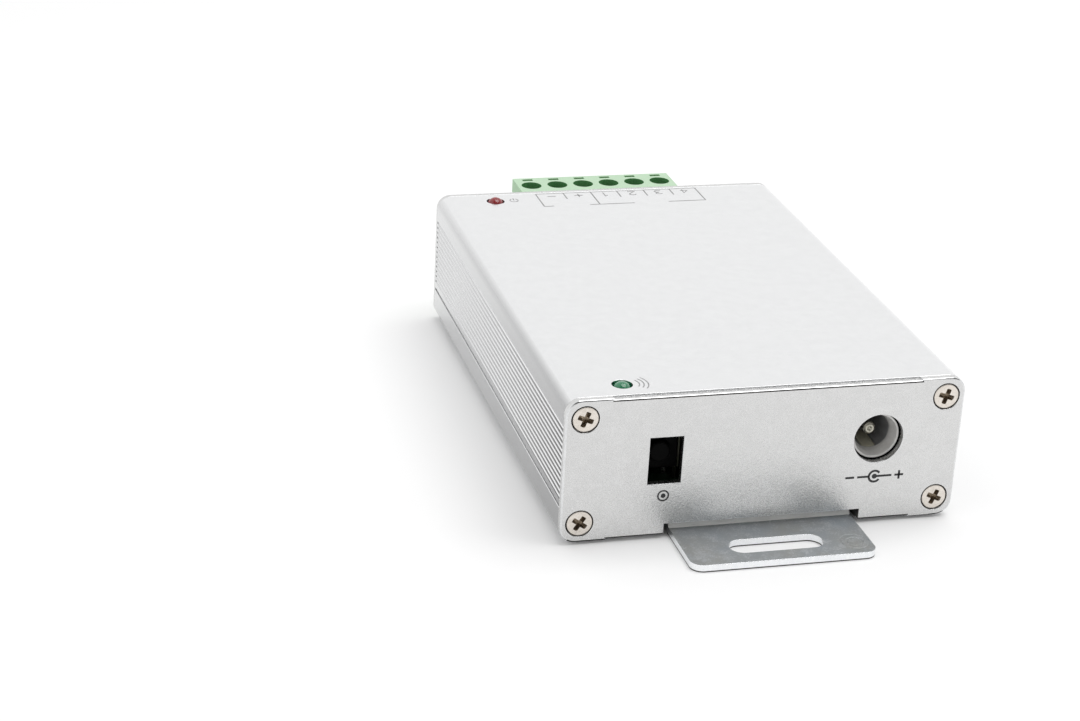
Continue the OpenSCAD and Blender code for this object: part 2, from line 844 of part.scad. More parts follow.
// Bent sheet behind the base with a wing and a leg at each side
module switch_bracket() {
    back = switch_case_t + switch_base_t;
    wing_y = switch_y - bracket_lead;
    wing_l = back + bracket_t + bracket_lead;
    color("silver") {
        box(switch_x, switch_y + back, switch_z - switch_w/2,
            [2*bracket_x + bracket_t, bracket_t, switch_w]);
        for (side = [-1, 1]) {
            box(switch_x + side*bracket_x, wing_y, switch_z - switch_w/2, [bracket_t, wing_l, switch_w]);
            box(switch_x + side*bracket_x, switch_y + bracket_leg_y - bracket_leg_w/2, leg_end,
                [bracket_t, bracket_leg_w, switch_z - leg_end]);
        }
    }
}

module switch_contacts() {
    color("silver")
    for (side = [-1, 1])
        box(switch_x + side*switch_contact_x, switch_contact_y - contact_t/2, leg_end,
            [switch_contact_w, contact_t, switch_z - leg_end - leg_play]);
}

module mode_button() {
    stem = button_out + switch_skin + button_gap;
    r = button_d/2;
    color("black")
    at_switch() translate([0, 0, -button_out]) rotate_extrude()
        polygon([[0, 0], [r - button_chamfer, 0], [r, button_chamfer], [r, stem],
            [button_flange_d/2, stem], [button_flange_d/2, stem + button_flange_t],
            [nub_d/2, stem + button_flange_t], [nub_d/2, stem + button_flange_t + nub_l],
            [0, stem + button_flange_t + nub_l]]);
}

// The hollows of one pole of the terminal block, at height 0 on the board
module pole_cuts() {
    well_w = clamp_w + 2*clamp_play;
    well_d = clamp_d + 2*clamp_play;
    slot_front = bar_leg_y - pole_y - bar_slot_play;
    translate([0, 0, seat_h]) cylinder(d = access_d, h = block_h - seat_h + overrun);
    translate([0, 0, ledge_h - overrun])
        cylinder(d = clamp_screw_d + 2*clamp_screw_play, h = ledge_t + 2*overrun);
    box(0, -well_d/2, block_floor, [well_w, well_d, ledge_h - block_floor]);
    box(0, slot_front, -overrun,
        [bar_w + 2*bar_slot_play, -slot_front - clamp_d/2, overrun + bar_h + bar_t + bar_slot_play]);
    box(0, 0, entry_low, [entry_w, block_rear - pole_y + overrun, entry_h]);
    box(0, block_rear - pole_y - entry_mouth_l, entry_low + entry_h/2 - entry_mouth_h/2,
        [entry_mouth_w, entry_mouth_l + overrun, entry_mouth_h]);
    box(0, block_rear - pole_y - top_slot_back - top_slot_l/2, block_h - top_slot_depth,
        [top_slot_w, top_slot_l, top_slot_depth + overrun]);
}

module terminal_block() {
    color("mediumseagreen")
    difference() {
        box(block_shift, block_front, board_top, [block_w, block_rear - block_front, block_h]);
        for (x = pole_xs)
            translate([x, pole_y, board_top]) pole_cuts();
    }
}

// Fixed bars that the wires are pressed against, each with a leg down through the board
module terminal_bars() {
    color("gainsboro")
    for (x = pole_xs) {
        box(x, bar_leg_y, board_top + bar_h, [bar_w, pole_y + bar_reach - bar_leg_y, bar_t]);
        box(x, bar_leg_y, board_top + leg_play, [bar_w, bar_t, bar_h]);
        box(x, bar_leg_y, board_z - bar_leg_out, [bar_leg_w, bar_t, board_t + bar_leg_out + bar_h]);
    }
}

// Screw i turns on the ledge over its clamp
module terminal_screw(i) {
    tip_h = bar_h + bar_t + clamp_screw_gap;
    color("silver")
    translate([pole_xs[i], pole_y, board_top]) difference() {
        union() {
            translate([0, 0, tip_h]) cylinder(d = clamp_screw_d, h = seat_h - tip_h);
            translate([0, 0, seat_h]) cylinder(d = clamp_head_d, h = clamp_head_t);
        }
        translate([-clamp_head_d, -clamp_slot_w/2, seat_h + clamp_head_t - clamp_slot_t])
            cube([2*clamp_head_d, clamp_slot_w, clamp_slot_t + overrun]);
    }
}

// Clamp i is a rectangular cage that the screw draws up against the bar
module wire_clamp(i) {
    color("goldenrod")
    translate([pole_xs[i], pole_y, board_top + clamp_low]) difference() {
        box(0, -clamp_d/2, 0, [clamp_w, clamp_d, clamp_h]);
        box(0, -clamp_d/2 - overrun, clamp_floor,
            [clamp_w - 2*clamp_wall, clamp_d + 2*overrun, clamp_h - clamp_floor - clamp_roof]);
        translate([0, 0, clamp_h - clamp_roof - clamp_gap])
            cylinder(d = clamp_screw_d + 2*clamp_screw_play, h = clamp_roof + 2*clamp_gap);
    }
}

// Round lens with a flange, whose top is at the given height
module light(y, top) {
    r = led_d/2;
    translate([led_x, y, top - led_h]) {
        cylinder(d = led_flange_d, h = led_flange_t);
        cylinder(d = led_d, h = led_h - r);
        translate([0, 0, led_h - r]) sphere(r);
    }
}

module light_leads(y, top) {
    for (side = [-1, 1])
        box(led_x + side*lead_gap/2, y - lead_w/2, leg_end, [lead_w, lead_w, top - led_h - leg_end]);
}

module signal_light() {
    color("green") light(front_y + signal_inset, top_z + signal_proud);
}

module signal_light_leads() {
    color("silver") light_leads(front_y + signal_inset, top_z + signal_proud);
}

module power_light() {
    color("red") light(rear_y - power_inset, top_z + power_proud);
}

module power_light_leads() {
    color("silver") light_leads(rear_y - power_inset, top_z + power_proud);
}

// Runs its children at each transistor's place on the board
module at_transistors() {
    for (i = [0:transistor_count - 1])
        translate([(i - (transistor_count - 1)/2)*transistor_pitch, transistor_y, board_top]) children();
}

module transistors() {
    color("black") at_transistors() box(0, -transistor_l/2, 0, [transistor_w, transistor_l, transistor_h]);
}

module transistor_tabs() {
    color("silver") at_transistors()
        box(0, transistor_l/2, 0, [transistor_tab_w, transistor_tab_l, transistor_tab_t]);
}

module transistor_leads() {
    color("silver") at_transistors() for (side = [-1, 1])
        box(side*transistor_lead_x, -transistor_l/2 - transistor_lead_l, 0,
            [transistor_lead_w, transistor_lead_l, transistor_tab_t]);
}

module control_chip() {
    color("black") box(chip_x, chip_y - chip_l/2, board_top + chip_lead_t, [chip_w, chip_l, chip_h]);
}

module control_chip_leads() {
    lead_x = (chip_w + chip_lead_l - chip_lead_under)/2;
    low_y = chip_y - (chip_lead_pairs - 1)/2*chip_pitch - chip_lead_w/2;
    color("silver")
    for (i = [0:chip_lead_pairs - 1], side = [-1, 1])
        box(chip_x + side*lead_x, low_y + i*chip_pitch, board_top,
            [chip_lead_l + chip_lead_under, chip_lead_w, chip_lead_t]);
}

module regulator() {
    color("black")
    translate([regulator_x, regulator_y, board_top + regulator_lift]) difference() {
        cylinder(d = regulator_d, h = regulator_h);
        box(0, regulator_flat, -overrun, [2*regulator_d, regulator_d, regulator_h + 2*overrun]);
    }
}

module regulator_leads() {
    color("silver")
    for (x = [-1, 0, 1]*regulator_pitch)
        box(regulator_x + x, regulator_y - lead_w/2, leg_end,
            [lead_w, lead_w, board_top + regulator_lift - leg_end]);
}

module capacitor() {
    color("silver")
    translate([capacitor_x, capacitor_y, board_top])
        cylinder(d = capacitor_d - 2*sleeve_t, h = capacitor_h);
}

module capacitor_sleeve() {
    color("midnightblue")
    translate([capacitor_x, capacitor_y, board_top]) difference() {
        cylinder(d = capacitor_d, h = capacitor_h - sleeve_short);
        translate([0, 0, -overrun]) cylinder(d = capacitor_d - 2*sleeve_t, h = capacitor_h + 2*overrun);
    }
}

module capacitor_leads() {
    color("silver")
    for (x = [-1, 1]*capacitor_pitch/2)
        box(capacitor_x + x, capacitor_y - lead_w/2, leg_end, [lead_w, lead_w, board_top - leg_end]);
}

module receiver_board() {
    color("darkgreen")
    box(receiver_x, receiver_y - receiver_t/2, board_top + receiver_lift,
        [receiver_l, receiver_t, receiver_h]);
}

module receiver_pins() {
    color("silver")
    for (x = receiver_pin_xs)
        box(x, receiver_y - receiver_pin_w/2, leg_end,
            [receiver_pin_w, receiver_pin_w, board_top + receiver_lift - leg_end]);
}

module resonator() {
    mid_z = board_top + receiver_lift + receiver_h/2;
    color("silver")
    translate([receiver_x + resonator_side, receiver_y - receiver_t/2, mid_z]) rotate([90, 0, 0])
        cylinder(d = resonator_d, h = resonator_h);
}

// Straight wire from the receiver's board towards the back
module aerial() {
    aerial_x = receiver_x + receiver_l/2 - aerial_side;
    aerial_z = board_top + receiver_lift + receiver_h - aerial_drop;
    color("firebrick")
    translate([aerial_x, receiver_y + receiver_t/2, aerial_z]) rotate([-90, 0, 0])
        cylinder(d = aerial_d, h = aerial_l);
}

module diode() {
    color("black") box(diode_x, diode_y - diode_l/2, board_top + diode_lead_t, [diode_w, diode_l, diode_h]);
}

module diode_leads() {
    color("silver")
    for (side = [-1, 1])
        box(diode_x, diode_y + side*diode_l/2 - diode_lead_l/2, board_top,
            [diode_lead_w, diode_lead_l, diode_lead_t]);
}

module chip_resistors() {
    color("black")
    for (i = [0:resistor_count - 1])
        box(resistor_x, resistor_y + i*resistor_pitch, board_top, [chip_part_l, chip_part_w, resistor_t]);
}

module chip_capacitors() {
    color("peru")
    for (i = [0:ceramic_count - 1])
        box(ceramic_x, ceramic_y + i*ceramic_pitch, board_top, [chip_part_l, chip_part_w, ceramic_t]);
}

case_shell();  // case
front_plate();
rear_plate();
front_plate_screws();
rear_plate_screws();
mounting_plate();
mounting_plate_screws();
circuit_board();
insulating_sheet();
jack_body();
jack_barrel();
jack_centre_pin();
jack_centre_contact();
jack_sleeve_contact();
jack_side_contact();
switch_case();
switch_base();
switch_dome();
switch_bracket();
switch_contacts();
mode_button();
terminal_block();
terminal_bars();
terminal_screw(0);  // terminal_screw_1
terminal_screw(1);  // terminal_screw_2
terminal_screw(2);  // terminal_screw_3
terminal_screw(3);  // terminal_screw_4
terminal_screw(4);  // terminal_screw_5
terminal_screw(5);  // terminal_screw_6
wire_clamp(0);  // wire_clamp_1
wire_clamp(1);  // wire_clamp_2
wire_clamp(2);  // wire_clamp_3
wire_clamp(3);  // wire_clamp_4
wire_clamp(4);  // wire_clamp_5
wire_clamp(5);  // wire_clamp_6
signal_light();
signal_light_leads();
power_light();
power_light_leads();
transistors();
transistor_tabs();
transistor_leads();
control_chip();
control_chip_leads();
regulator();
regulator_leads();
capacitor();
capacitor_sleeve();
capacitor_leads();
receiver_board();
receiver_pins();
resonator();
aerial();
diode();
diode_leads();
chip_resistors();
chip_capacitors();
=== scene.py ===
import json
import math
import bpy
import bmesh
import numpy as np
from mathutils import Matrix


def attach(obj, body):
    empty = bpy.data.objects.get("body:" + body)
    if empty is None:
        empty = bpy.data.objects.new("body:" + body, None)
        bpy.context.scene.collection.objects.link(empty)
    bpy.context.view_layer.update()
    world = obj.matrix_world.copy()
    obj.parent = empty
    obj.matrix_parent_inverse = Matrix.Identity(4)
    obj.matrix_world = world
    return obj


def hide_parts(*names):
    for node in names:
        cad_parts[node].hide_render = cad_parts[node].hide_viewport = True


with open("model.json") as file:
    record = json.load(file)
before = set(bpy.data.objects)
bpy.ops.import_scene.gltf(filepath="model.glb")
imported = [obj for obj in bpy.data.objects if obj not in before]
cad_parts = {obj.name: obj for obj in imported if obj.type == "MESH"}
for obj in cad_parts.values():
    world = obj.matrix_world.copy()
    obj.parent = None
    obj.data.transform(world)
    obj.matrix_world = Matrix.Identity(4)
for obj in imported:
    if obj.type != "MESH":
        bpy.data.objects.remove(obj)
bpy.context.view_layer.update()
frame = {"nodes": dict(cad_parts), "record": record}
mm = 0.001
print("frame loaded")

# camera

camera = {
    "place": (-123.01, -354.13, 169.53),  # millimetres
    "azimuth": -15.614,
    "elevation": 23.379,
    "roll": 3.003,
    "lens": 78.316,
    "sensor": 36,  # its width in millimetres
    "nearest": 0.01,  # metres
}


def standAt(obj, place, side, top, back):
    # at a place in metres, with the object's X, Y and Z along the three directions
    turn = Matrix(np.column_stack([side, top, back]).tolist()).to_4x4()
    obj.matrix_world = Matrix.Translation(place) @ turn
    bpy.context.collection.objects.link(obj)


def placeCamera(c):
    # axes from azimuth and elevation, then rolled about the line of sight
    az, el, roll = (math.radians(c[k]) for k in ("azimuth", "elevation", "roll"))
    back = np.array([math.sin(az)*math.cos(el), -math.cos(az)*math.cos(el), math.sin(el)])
    right = np.cross([0, 0, 1], back)
    right /= np.linalg.norm(right)
    up = np.cross(back, right)
    side = math.cos(roll)*right + math.sin(roll)*up
    top = math.cos(roll)*up - math.sin(roll)*right
    cam = bpy.data.cameras.new("camera")
    cam.sensor_fit = "HORIZONTAL"
    cam.sensor_width = c["sensor"]
    cam.lens = c["lens"]
    cam.clip_start = c["nearest"]
    obj = bpy.data.objects.new("camera", cam)
    standAt(obj, [v*mm for v in c["place"]], side, top, back)
    bpy.context.scene.camera = obj


placeCamera(camera)
bpy.context.scene.view_settings.view_transform = "Standard"

# node helpers


def newMaterial(name, **values):
    mat = bpy.data.materials.new(name)
    mat.use_nodes = True
    shader = mat.node_tree.nodes["Principled BSDF"]
    for key, value in values.items():
        shader.inputs[key].default_value = value
    return mat, mat.node_tree, shader


def addNode(tree, kind, links=None, **settings):
    # links: input name or index to an output socket or a plain value
    node = tree.nodes.new(kind)
    for key, value in settings.items():
        setattr(node, key, value)
    for key, value in (links or {}).items():
        if isinstance(value, bpy.types.NodeSocket):
            tree.links.new(value, node.inputs[key])
        else:
            node.inputs[key].default_value = value
    return node


def useGroup(tree, group, **links):
    return addNode(tree, "ShaderNodeGroup", links, node_tree=group)


def mixColours(tree, factor, a, b):
    return addNode(tree, "ShaderNodeMix", {0: factor, 6: a, 7: b}, data_type="RGBA").outputs[2]


def doMath(tree, operation, *values):
    links = dict(enumerate(values))
    return addNode(tree, "ShaderNodeMath", links, operation=operation).outputs[0]


def mapRange(tree, value, ends, low, high, **settings):
    # goes from low to high while value goes from the first end to the second
    links = {0: value, 1: ends[0], 2: ends[1], 3: low, 4: high}
    return addNode(tree, "ShaderNodeMapRange", links, **settings).outputs[0]


def objectAxes(tree):
    # X, Y and Z in the object's own coordinates, in metres
    place = addNode(tree, "ShaderNodeTexCoord")
    return addNode(tree, "ShaderNodeSeparateXYZ", {0: place.outputs["Object"]}).outputs


def newGroup(name, inputs, outputs):
    # inputs: names to values; outputs: names to kinds of socket
    group = bpy.data.node_groups.new(name, "ShaderNodeTree")
    for label, value in inputs.items():
        kind = "NodeSocketVector" if isinstance(value, tuple) else "NodeSocketFloat"
        sock = group.interface.new_socket(label, in_out="INPUT", socket_type=kind)
        sock.default_value = value
    for label, kind in outputs.items():
        group.interface.new_socket(label, in_out="OUTPUT", socket_type=kind)
    return group, group.nodes.new("NodeGroupInput"), group.nodes.new("NodeGroupOutput")


grainLook = {
    "detail": 3.0,
    "rough": 0.6,
    "broadScale": 0.13,  # of the fine noise's scale
    "broadDetail": 2.0,
    "broadRough": 0.5,
    "broadShare": 0.35,
}
toneSpan = (0.3, 0.7)  # the noise seldom leaves these


def makeGrainGroup(k):
    # two sizes of noise stretched by Stretch; Tone is their mix, Normal their bump
    g, a, b = newGroup("surfaceGrain",
        {"Scale": 3000.0, "Stretch": (1.0, 1.0, 1.0), "Bump": 0.1, "Depth": 0.00001},
        {"Tone": "NodeSocketFloat", "Normal": "NodeSocketVector"})
    place = addNode(g, "ShaderNodeTexCoord")
    spread = addNode(g, "ShaderNodeVectorMath",
        {0: place.outputs["Object"], 1: a.outputs["Stretch"]}, operation="MULTIPLY").outputs[0]
    fine = addNode(g, "ShaderNodeTexNoise", {"Vector": spread, "Scale": a.outputs["Scale"],
        "Detail": k["detail"], "Roughness": k["rough"]})
    wide = doMath(g, "MULTIPLY", a.outputs["Scale"], k["broadScale"])
    broad = addNode(g, "ShaderNodeTexNoise", {"Vector": spread, "Scale": wide,
        "Detail": k["broadDetail"], "Roughness": k["broadRough"]})
    tone = addNode(g, "ShaderNodeMix",
        {0: k["broadShare"], 2: fine.outputs[0], 3: broad.outputs[0]}, data_type="FLOAT").outputs[0]
    bump = addNode(g, "ShaderNodeBump", {"Strength": a.outputs["Bump"],
        "Distance": a.outputs["Depth"], "Height": tone})
    g.links.new(tone, b.inputs["Tone"])
    g.links.new(bump.outputs[0], b.inputs["Normal"])
    return g


def makeRangeGroup(ends):
    # Value moved from between the ends to between Low and High, for roughness and masks
    g, a, b = newGroup("toneRange", {"Value": 0.5, "Low": 0.0, "High": 1.0},
        {"Result": "NodeSocketFloat"})
    moved = mapRange(g, a.outputs["Value"], ends, a.outputs["Low"], a.outputs["High"])
    g.links.new(moved, b.inputs["Result"])
    return g


grainGroup = makeGrainGroup(grainLook)
rangeGroup = makeRangeGroup(toneSpan)


def toneOf(tree, grain, low, high):
    return useGroup(tree, rangeGroup, Value=grain.outputs["Tone"], Low=low, High=high).outputs[0]


def feedShader(tree, shader, grain, colour, rough):
    # roughness follows the grain's tone over its range, and the normal the grain's bump
    tree.links.new(colour, shader.inputs["Base Color"])
    tree.links.new(toneOf(tree, grain, *rough), shader.inputs["Roughness"])
    tree.links.new(grain.outputs["Normal"], shader.inputs["Normal"])


def grainyMaterial(name, dark, light, rough, scale=3000.0, stretch=(1.0, 1.0, 1.0), bump=0.1,
        depth=0.00001, **values):
    # colour goes from dark to light by the grain's tone; scale is noise per metre, depth in metres
    mat, tree, shader = newMaterial(name, **values)
    grain = useGroup(tree, grainGroup, Scale=scale, Stretch=stretch, Bump=bump, Depth=depth)
    colour = mixColours(tree, toneOf(tree, grain, 0.0, 1.0), (*dark, 1), (*light, 1))
    feedShader(tree, shader, grain, colour, rough)
    return mat


zincLook = {
    "olive": (0.50, 0.49, 0.45),
    "blue": (0.45, 0.51, 0.57),
    "cloudScale": 110.0,
    "glint": (0.64, 0.66, 0.68),
    "glintSpan": (-1.2, 1.4),
    "pitScale": 4600.0,
    "pitBump": 0.9,
    "pitDepth": 0.00002,
    "rough": (0.32, 0.46),
    "metal": 0.72,
}


def zincMaterial(name, z):
    # passivated zinc: broad cloudy patches between two tints, fine pits that catch the light
    mat, tree, shader = newMaterial(name, Metallic=z["metal"])
    pits = useGroup(tree, grainGroup, Scale=z["pitScale"], Bump=z["pitBump"], Depth=z["pitDepth"])
    cloud = useGroup(tree, grainGroup, Scale=z["cloudScale"], Bump=0.0)
    tint = mixColours(tree, toneOf(tree, cloud, 0.0, 1.0), (*z["olive"], 1), (*z["blue"], 1))
    glint = toneOf(tree, pits, *z["glintSpan"])
    colour = mixColours(tree, glint, tint, (*z["glint"], 1))
    feedShader(tree, shader, pits, colour, z["rough"])
    return mat


def placeMask(tree, axis, near, far):
    # 0 where the distance from the middle along an axis is near, 1 where far, in millimetres
    away = doMath(tree, "ABSOLUTE", objectAxes(tree)[axis])
    return mapRange(tree, away, (near*mm, far*mm), 0.0, 1.0)


def frontMask(tree, front, rear, span):
    # goes evenly from its front value to its rear one over a span along Y, in millimetres
    return mapRange(tree, objectAxes(tree)["Y"], (span[0]*mm, span[1]*mm), front, rear)


def shaderInput(mat, key):
    return mat.node_tree.nodes["Principled BSDF"].inputs[key]


def layOver(mat, factor, colour):
    # a second colour over a material's own, by a mask
    sock = shaderInput(mat, "Base Color")
    below = sock.links[0].from_socket
    mat.node_tree.links.new(mixColours(mat.node_tree, factor, below, (*colour, 1)), sock)


def caseMaterial(name, shadeTone, rear, near=31.4, far=32.4, span=(-45, 45)):
    # between near and far along X the bright metal gives way to painted shade, of which less and
    # less is left towards the rear, down to the share in rear
    mat = grainyMaterial(name, (0.79, 0.795, 0.80), (0.85, 0.855, 0.86), (0.15, 0.21),
        scale=4200.0, bump=0.3, Metallic=1.0)
    tree = mat.node_tree
    side, along = placeMask(tree, "X", near, far), frontMask(tree, 1.0, rear, span)
    layOver(mat, doMath(tree, "MULTIPLY", side, along), shadeTone)
    return mat


# finishes: a name, the darkest and lightest colours and the roughness range, then the grain

finishes = {
    # the case's sides carry painted shade, darker towards the front
    "anodised_aluminium": caseMaterial("satinCaseShadedSides", (0.40, 0.402, 0.405), rear=0.42),
    "zinc_plated_steel": zincMaterial("zincPlate", zincLook),
    "nickel_plated_steel": grainyMaterial("nickelScrew", (0.62, 0.57, 0.51), (0.86, 0.81, 0.75),
        (0.26, 0.42), scale=3200.0, bump=0.5, depth=0.00002, Metallic=1.0),
    "green_plastic": grainyMaterial("greenTerminal", (0.25, 0.47, 0.24), (0.30, 0.53, 0.29),
        (0.26, 0.36), bump=0.2),
    # real black, made darker still as painted shade
    "black_plastic": grainyMaterial("shadedBlackMoulding", (0.002, 0.002, 0.002), (0.005, 0.005, 0.005),
        (0.5, 0.65), bump=0.2, **{"Specular IOR Level": 0.07}),
    "black_button": grainyMaterial("shadedBlackButton", (0.002, 0.002, 0.002), (0.004, 0.004, 0.004),
        (0.5, 0.6), scale=2500.0, **{"Specular IOR Level": 0.05}),
    "tinned_brass": grainyMaterial("tinnedContact", (0.62, 0.61, 0.58), (0.74, 0.73, 0.70),
        (0.2, 0.34), scale=2500.0, bump=0.15, Metallic=1.0),
    "bare_brass": grainyMaterial("brassContact", (0.66, 0.52, 0.27), (0.78, 0.64, 0.36),
        (0.16, 0.28), scale=2500.0, bump=0.15, Metallic=1.0),
    # the board's green darkened almost to black as painted shade
    "board_laminate": grainyMaterial("boardLacquerInShade", (0.006, 0.022, 0.010), (0.010, 0.034, 0.014),
        (0.35, 0.5), scale=900.0, bump=0.15, depth=0.00002),
    "white_film": grainyMaterial("whiteFilm", (0.72, 0.72, 0.70), (0.80, 0.80, 0.78),
        (0.4, 0.5), scale=1500.0, depth=0.00002),
    "capacitor_can": grainyMaterial("canAluminium", (0.70, 0.70, 0.71), (0.80, 0.80, 0.81),
        (0.2, 0.3), scale=2500.0, Metallic=1.0),
    "capacitor_film": grainyMaterial("darkSleeve", (0.01, 0.015, 0.05), (0.02, 0.03, 0.08),
        (0.25, 0.4), scale=1500.0),
    "wire_cover": grainyMaterial("redWire", (0.40, 0.02, 0.02), (0.50, 0.04, 0.03),
        (0.3, 0.45), scale=1500.0),
    "ceramic_tan": grainyMaterial("tanCeramic", (0.42, 0.29, 0.17), (0.54, 0.39, 0.24),
        (0.4, 0.55), scale=2500.0),
    "green_lens": grainyMaterial("tintedGreen", (0.03, 0.30, 0.14), (0.05, 0.38, 0.18),
        (0.06, 0.12), scale=900.0, bump=0.05, **{"Transmission Weight": 0.45, "Coat Weight": 0.5}),
    "red_lens": grainyMaterial("tintedRed", (0.34, 0.012, 0.016), (0.44, 0.022, 0.026),
        (0.06, 0.12), scale=900.0, bump=0.05, **{"Transmission Weight": 0.45, "Coat Weight": 0.5}),
}

# end plates and their screws
plateSatin = grainyMaterial("satinPlate", (0.61, 0.61, 0.607), (0.71, 0.71, 0.707),
    (0.22, 0.32), scale=4400.0, bump=1.0, depth=0.00007, Metallic=1.0)
cutEdge = grainyMaterial("polishedEdge", (0.62, 0.625, 0.63), (0.80, 0.805, 0.81),
    (0.08, 0.14), scale=2500.0, bump=0.25, Metallic=1.0)
# painted shade: a dark line on the top edge's rounding, the notch walls, the case's recess
paintedShade = grainyMaterial("paintedShade", (0.01, 0.009, 0.008), (0.18, 0.175, 0.165),
    (0.3, 0.45), scale=1400.0, bump=0.5, depth=0.00002, Metallic=0.5)
# painted contact shadow on the plates' bottom edges
contactShade = grainyMaterial("paintedContactShadow", (0.004, 0.004, 0.004), (0.03, 0.029, 0.028),
    (0.5, 0.7), scale=1400.0, bump=0.3, depth=0.00002, **{"Specular IOR Level": 0.1})
# painted shade in the screws' cross recesses
shadedRecessNickel = grainyMaterial("paintedRecessShade", (0.07, 0.05, 0.032), (0.42, 0.34, 0.25),
    (0.25, 0.45), scale=3500.0, bump=0.7, depth=0.00004, Metallic=0.8)

# side grooves of the case
brightGroove = grainyMaterial("brightGroove", (0.80, 0.802, 0.805), (0.88, 0.882, 0.885),
    (0.12, 0.2), scale=2600.0, bump=0.2, Metallic=0.95)
# painted shade on the up-facing groove walls, growing towards the rear
grooveRearShade = frontMask(brightGroove.node_tree, front=0.0, rear=1.0, span=(-10, 35))
layOver(brightGroove, grooveRearShade, (0.66, 0.662, 0.665))
# painted shade on the ribs, strongest at the front, fading towards the rear
ribShade = caseMaterial("paintedRibShade", (0.10, 0.10, 0.101), rear=0.23, near=30.0, far=31.0,
    span=(-45, 30))
# painted shade on the seam's floor, darker towards the front
seamFloor = caseMaterial("paintedSeamShade", (0.40, 0.402, 0.405), rear=0.2, near=30.0, far=31.0)
seamMetal = frontMask(seamFloor.node_tree, front=1.0, rear=0.1, span=(-20, 30))
seamFloor.node_tree.links.new(seamMetal, shaderInput(seamFloor, "Metallic"))

# mounting plate, with a painted contact shadow along its lower edge
# painted highlight on the mounting plate's bends
bendHighlight = grainyMaterial("bendHighlight", (0.70, 0.70, 0.68), (0.90, 0.90, 0.88),
    (0.25, 0.4), scale=2200.0, stretch=(0.15, 1.0, 1.0), bump=0.5, depth=0.00002)
shearedEdge = grainyMaterial("shearedZinc", (0.84, 0.86, 0.88), (0.95, 0.96, 0.97),
    (0.14, 0.26), scale=2200.0, stretch=(1.0, 1.0, 0.3), bump=0.4, depth=0.00002, Metallic=1.0)
edgeTree = shearedEdge.node_tree
# painted contact shadow along the lowest part of the sheared walls
contactShadowBand = doMath(edgeTree, "SUBTRACT", 1.0, placeMask(edgeTree, "Z", near=0.15, far=0.24))
layOver(shearedEdge, contactShadowBand, (0.04, 0.036, 0.032))

# jack, switch and terminals
jackPlating = grainyMaterial("satinPlating", (0.60, 0.59, 0.57), (0.72, 0.71, 0.69),
    (0.3, 0.42), scale=2500.0, bump=0.15, Metallic=0.2)
# painted shade in the jack's bore
boreShade = grainyMaterial("paintedBoreShade", (0.38, 0.38, 0.39), (0.50, 0.50, 0.51),
    (0.3, 0.45), scale=2500.0, bump=0.15, Metallic=0.6)
leafMetal = grainyMaterial("agedContact", (0.52, 0.50, 0.40), (0.66, 0.63, 0.50),
    (0.35, 0.5), scale=2500.0, bump=0.2, Metallic=0.15)
pinMetal = grainyMaterial("agedPin", (0.40, 0.39, 0.33), (0.52, 0.50, 0.43),
    (0.22, 0.35), scale=2500.0, bump=0.15, Metallic=0.9)
# steel darkened almost to black as painted shade
shadedBracketSteel = grainyMaterial("shadedBracketSteel", (0.05, 0.055, 0.035), (0.13, 0.135, 0.10),
    (0.35, 0.5), scale=2200.0, bump=0.3, Metallic=0.8)
# painted light on the terminal block's top, painted shade in its screw holes
terminalLitTop = grainyMaterial("paintedLitTerminal", (0.40, 0.58, 0.39), (0.46, 0.64, 0.45),
    (0.3, 0.4), bump=0.2)
terminalShade = grainyMaterial("paintedHoleShade", (0.07, 0.24, 0.08), (0.10, 0.29, 0.11),
    (0.4, 0.5), bump=0.2)

# print
inkFinish = grainyMaterial("darkInk", (0.006, 0.006, 0.007), (0.03, 0.03, 0.032),
    (0.45, 0.6), scale=4000.0, depth=0.000005)
fadedInk = grainyMaterial("fadedInk", (0.14, 0.14, 0.14), (0.42, 0.42, 0.42),
    (0.45, 0.6), scale=4000.0, depth=0.000005)

slotOf = {s["node"]: s["material_slot"] for s in frame["record"]["subparts"]}
for name, node in frame["nodes"].items():
    node.data.materials.clear()
    node.data.materials.append(finishes[slotOf[name]])
print("finishes made")

# pieces from the solids, with rounded edges

rounding = {
    "merge": 0.000002,  # metres between points that are one
    "flat": 0.3,  # degrees up to which faces are joined
    "sharp": 28,  # degrees from which an edge is rounded
    "free": ("front_plate", "rear_plate"),  # rounded past the short steps of their outlines
}


def bodyOf(node):
    for body, names in frame["record"]["behaviour"]["bodies"].items():
        if node in names:
            return body


def standFor(piece, node, *coats):
    # coats in the order of the faces' places; the first ones take over what the mesh has
    mats = piece.data.materials
    for i, coat in enumerate(coats):
        if i < len(mats):
            mats[i] = coat
        else:
            mats.append(coat)
    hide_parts(node)
    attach(piece, bodyOf(node))


def addPiece(name, mesh):
    obj = bpy.data.objects.new(name, mesh)
    bpy.context.collection.objects.link(obj)
    return obj


def bakeModifiers(obj):
    # the mesh as its modifiers leave it takes the place of the plain one
    graph = bpy.context.evaluated_depsgraph_get()
    mesh = bpy.data.meshes.new_from_object(obj.evaluated_get(graph), depsgraph=graph)
    obj.modifiers.clear()
    obj.data = mesh


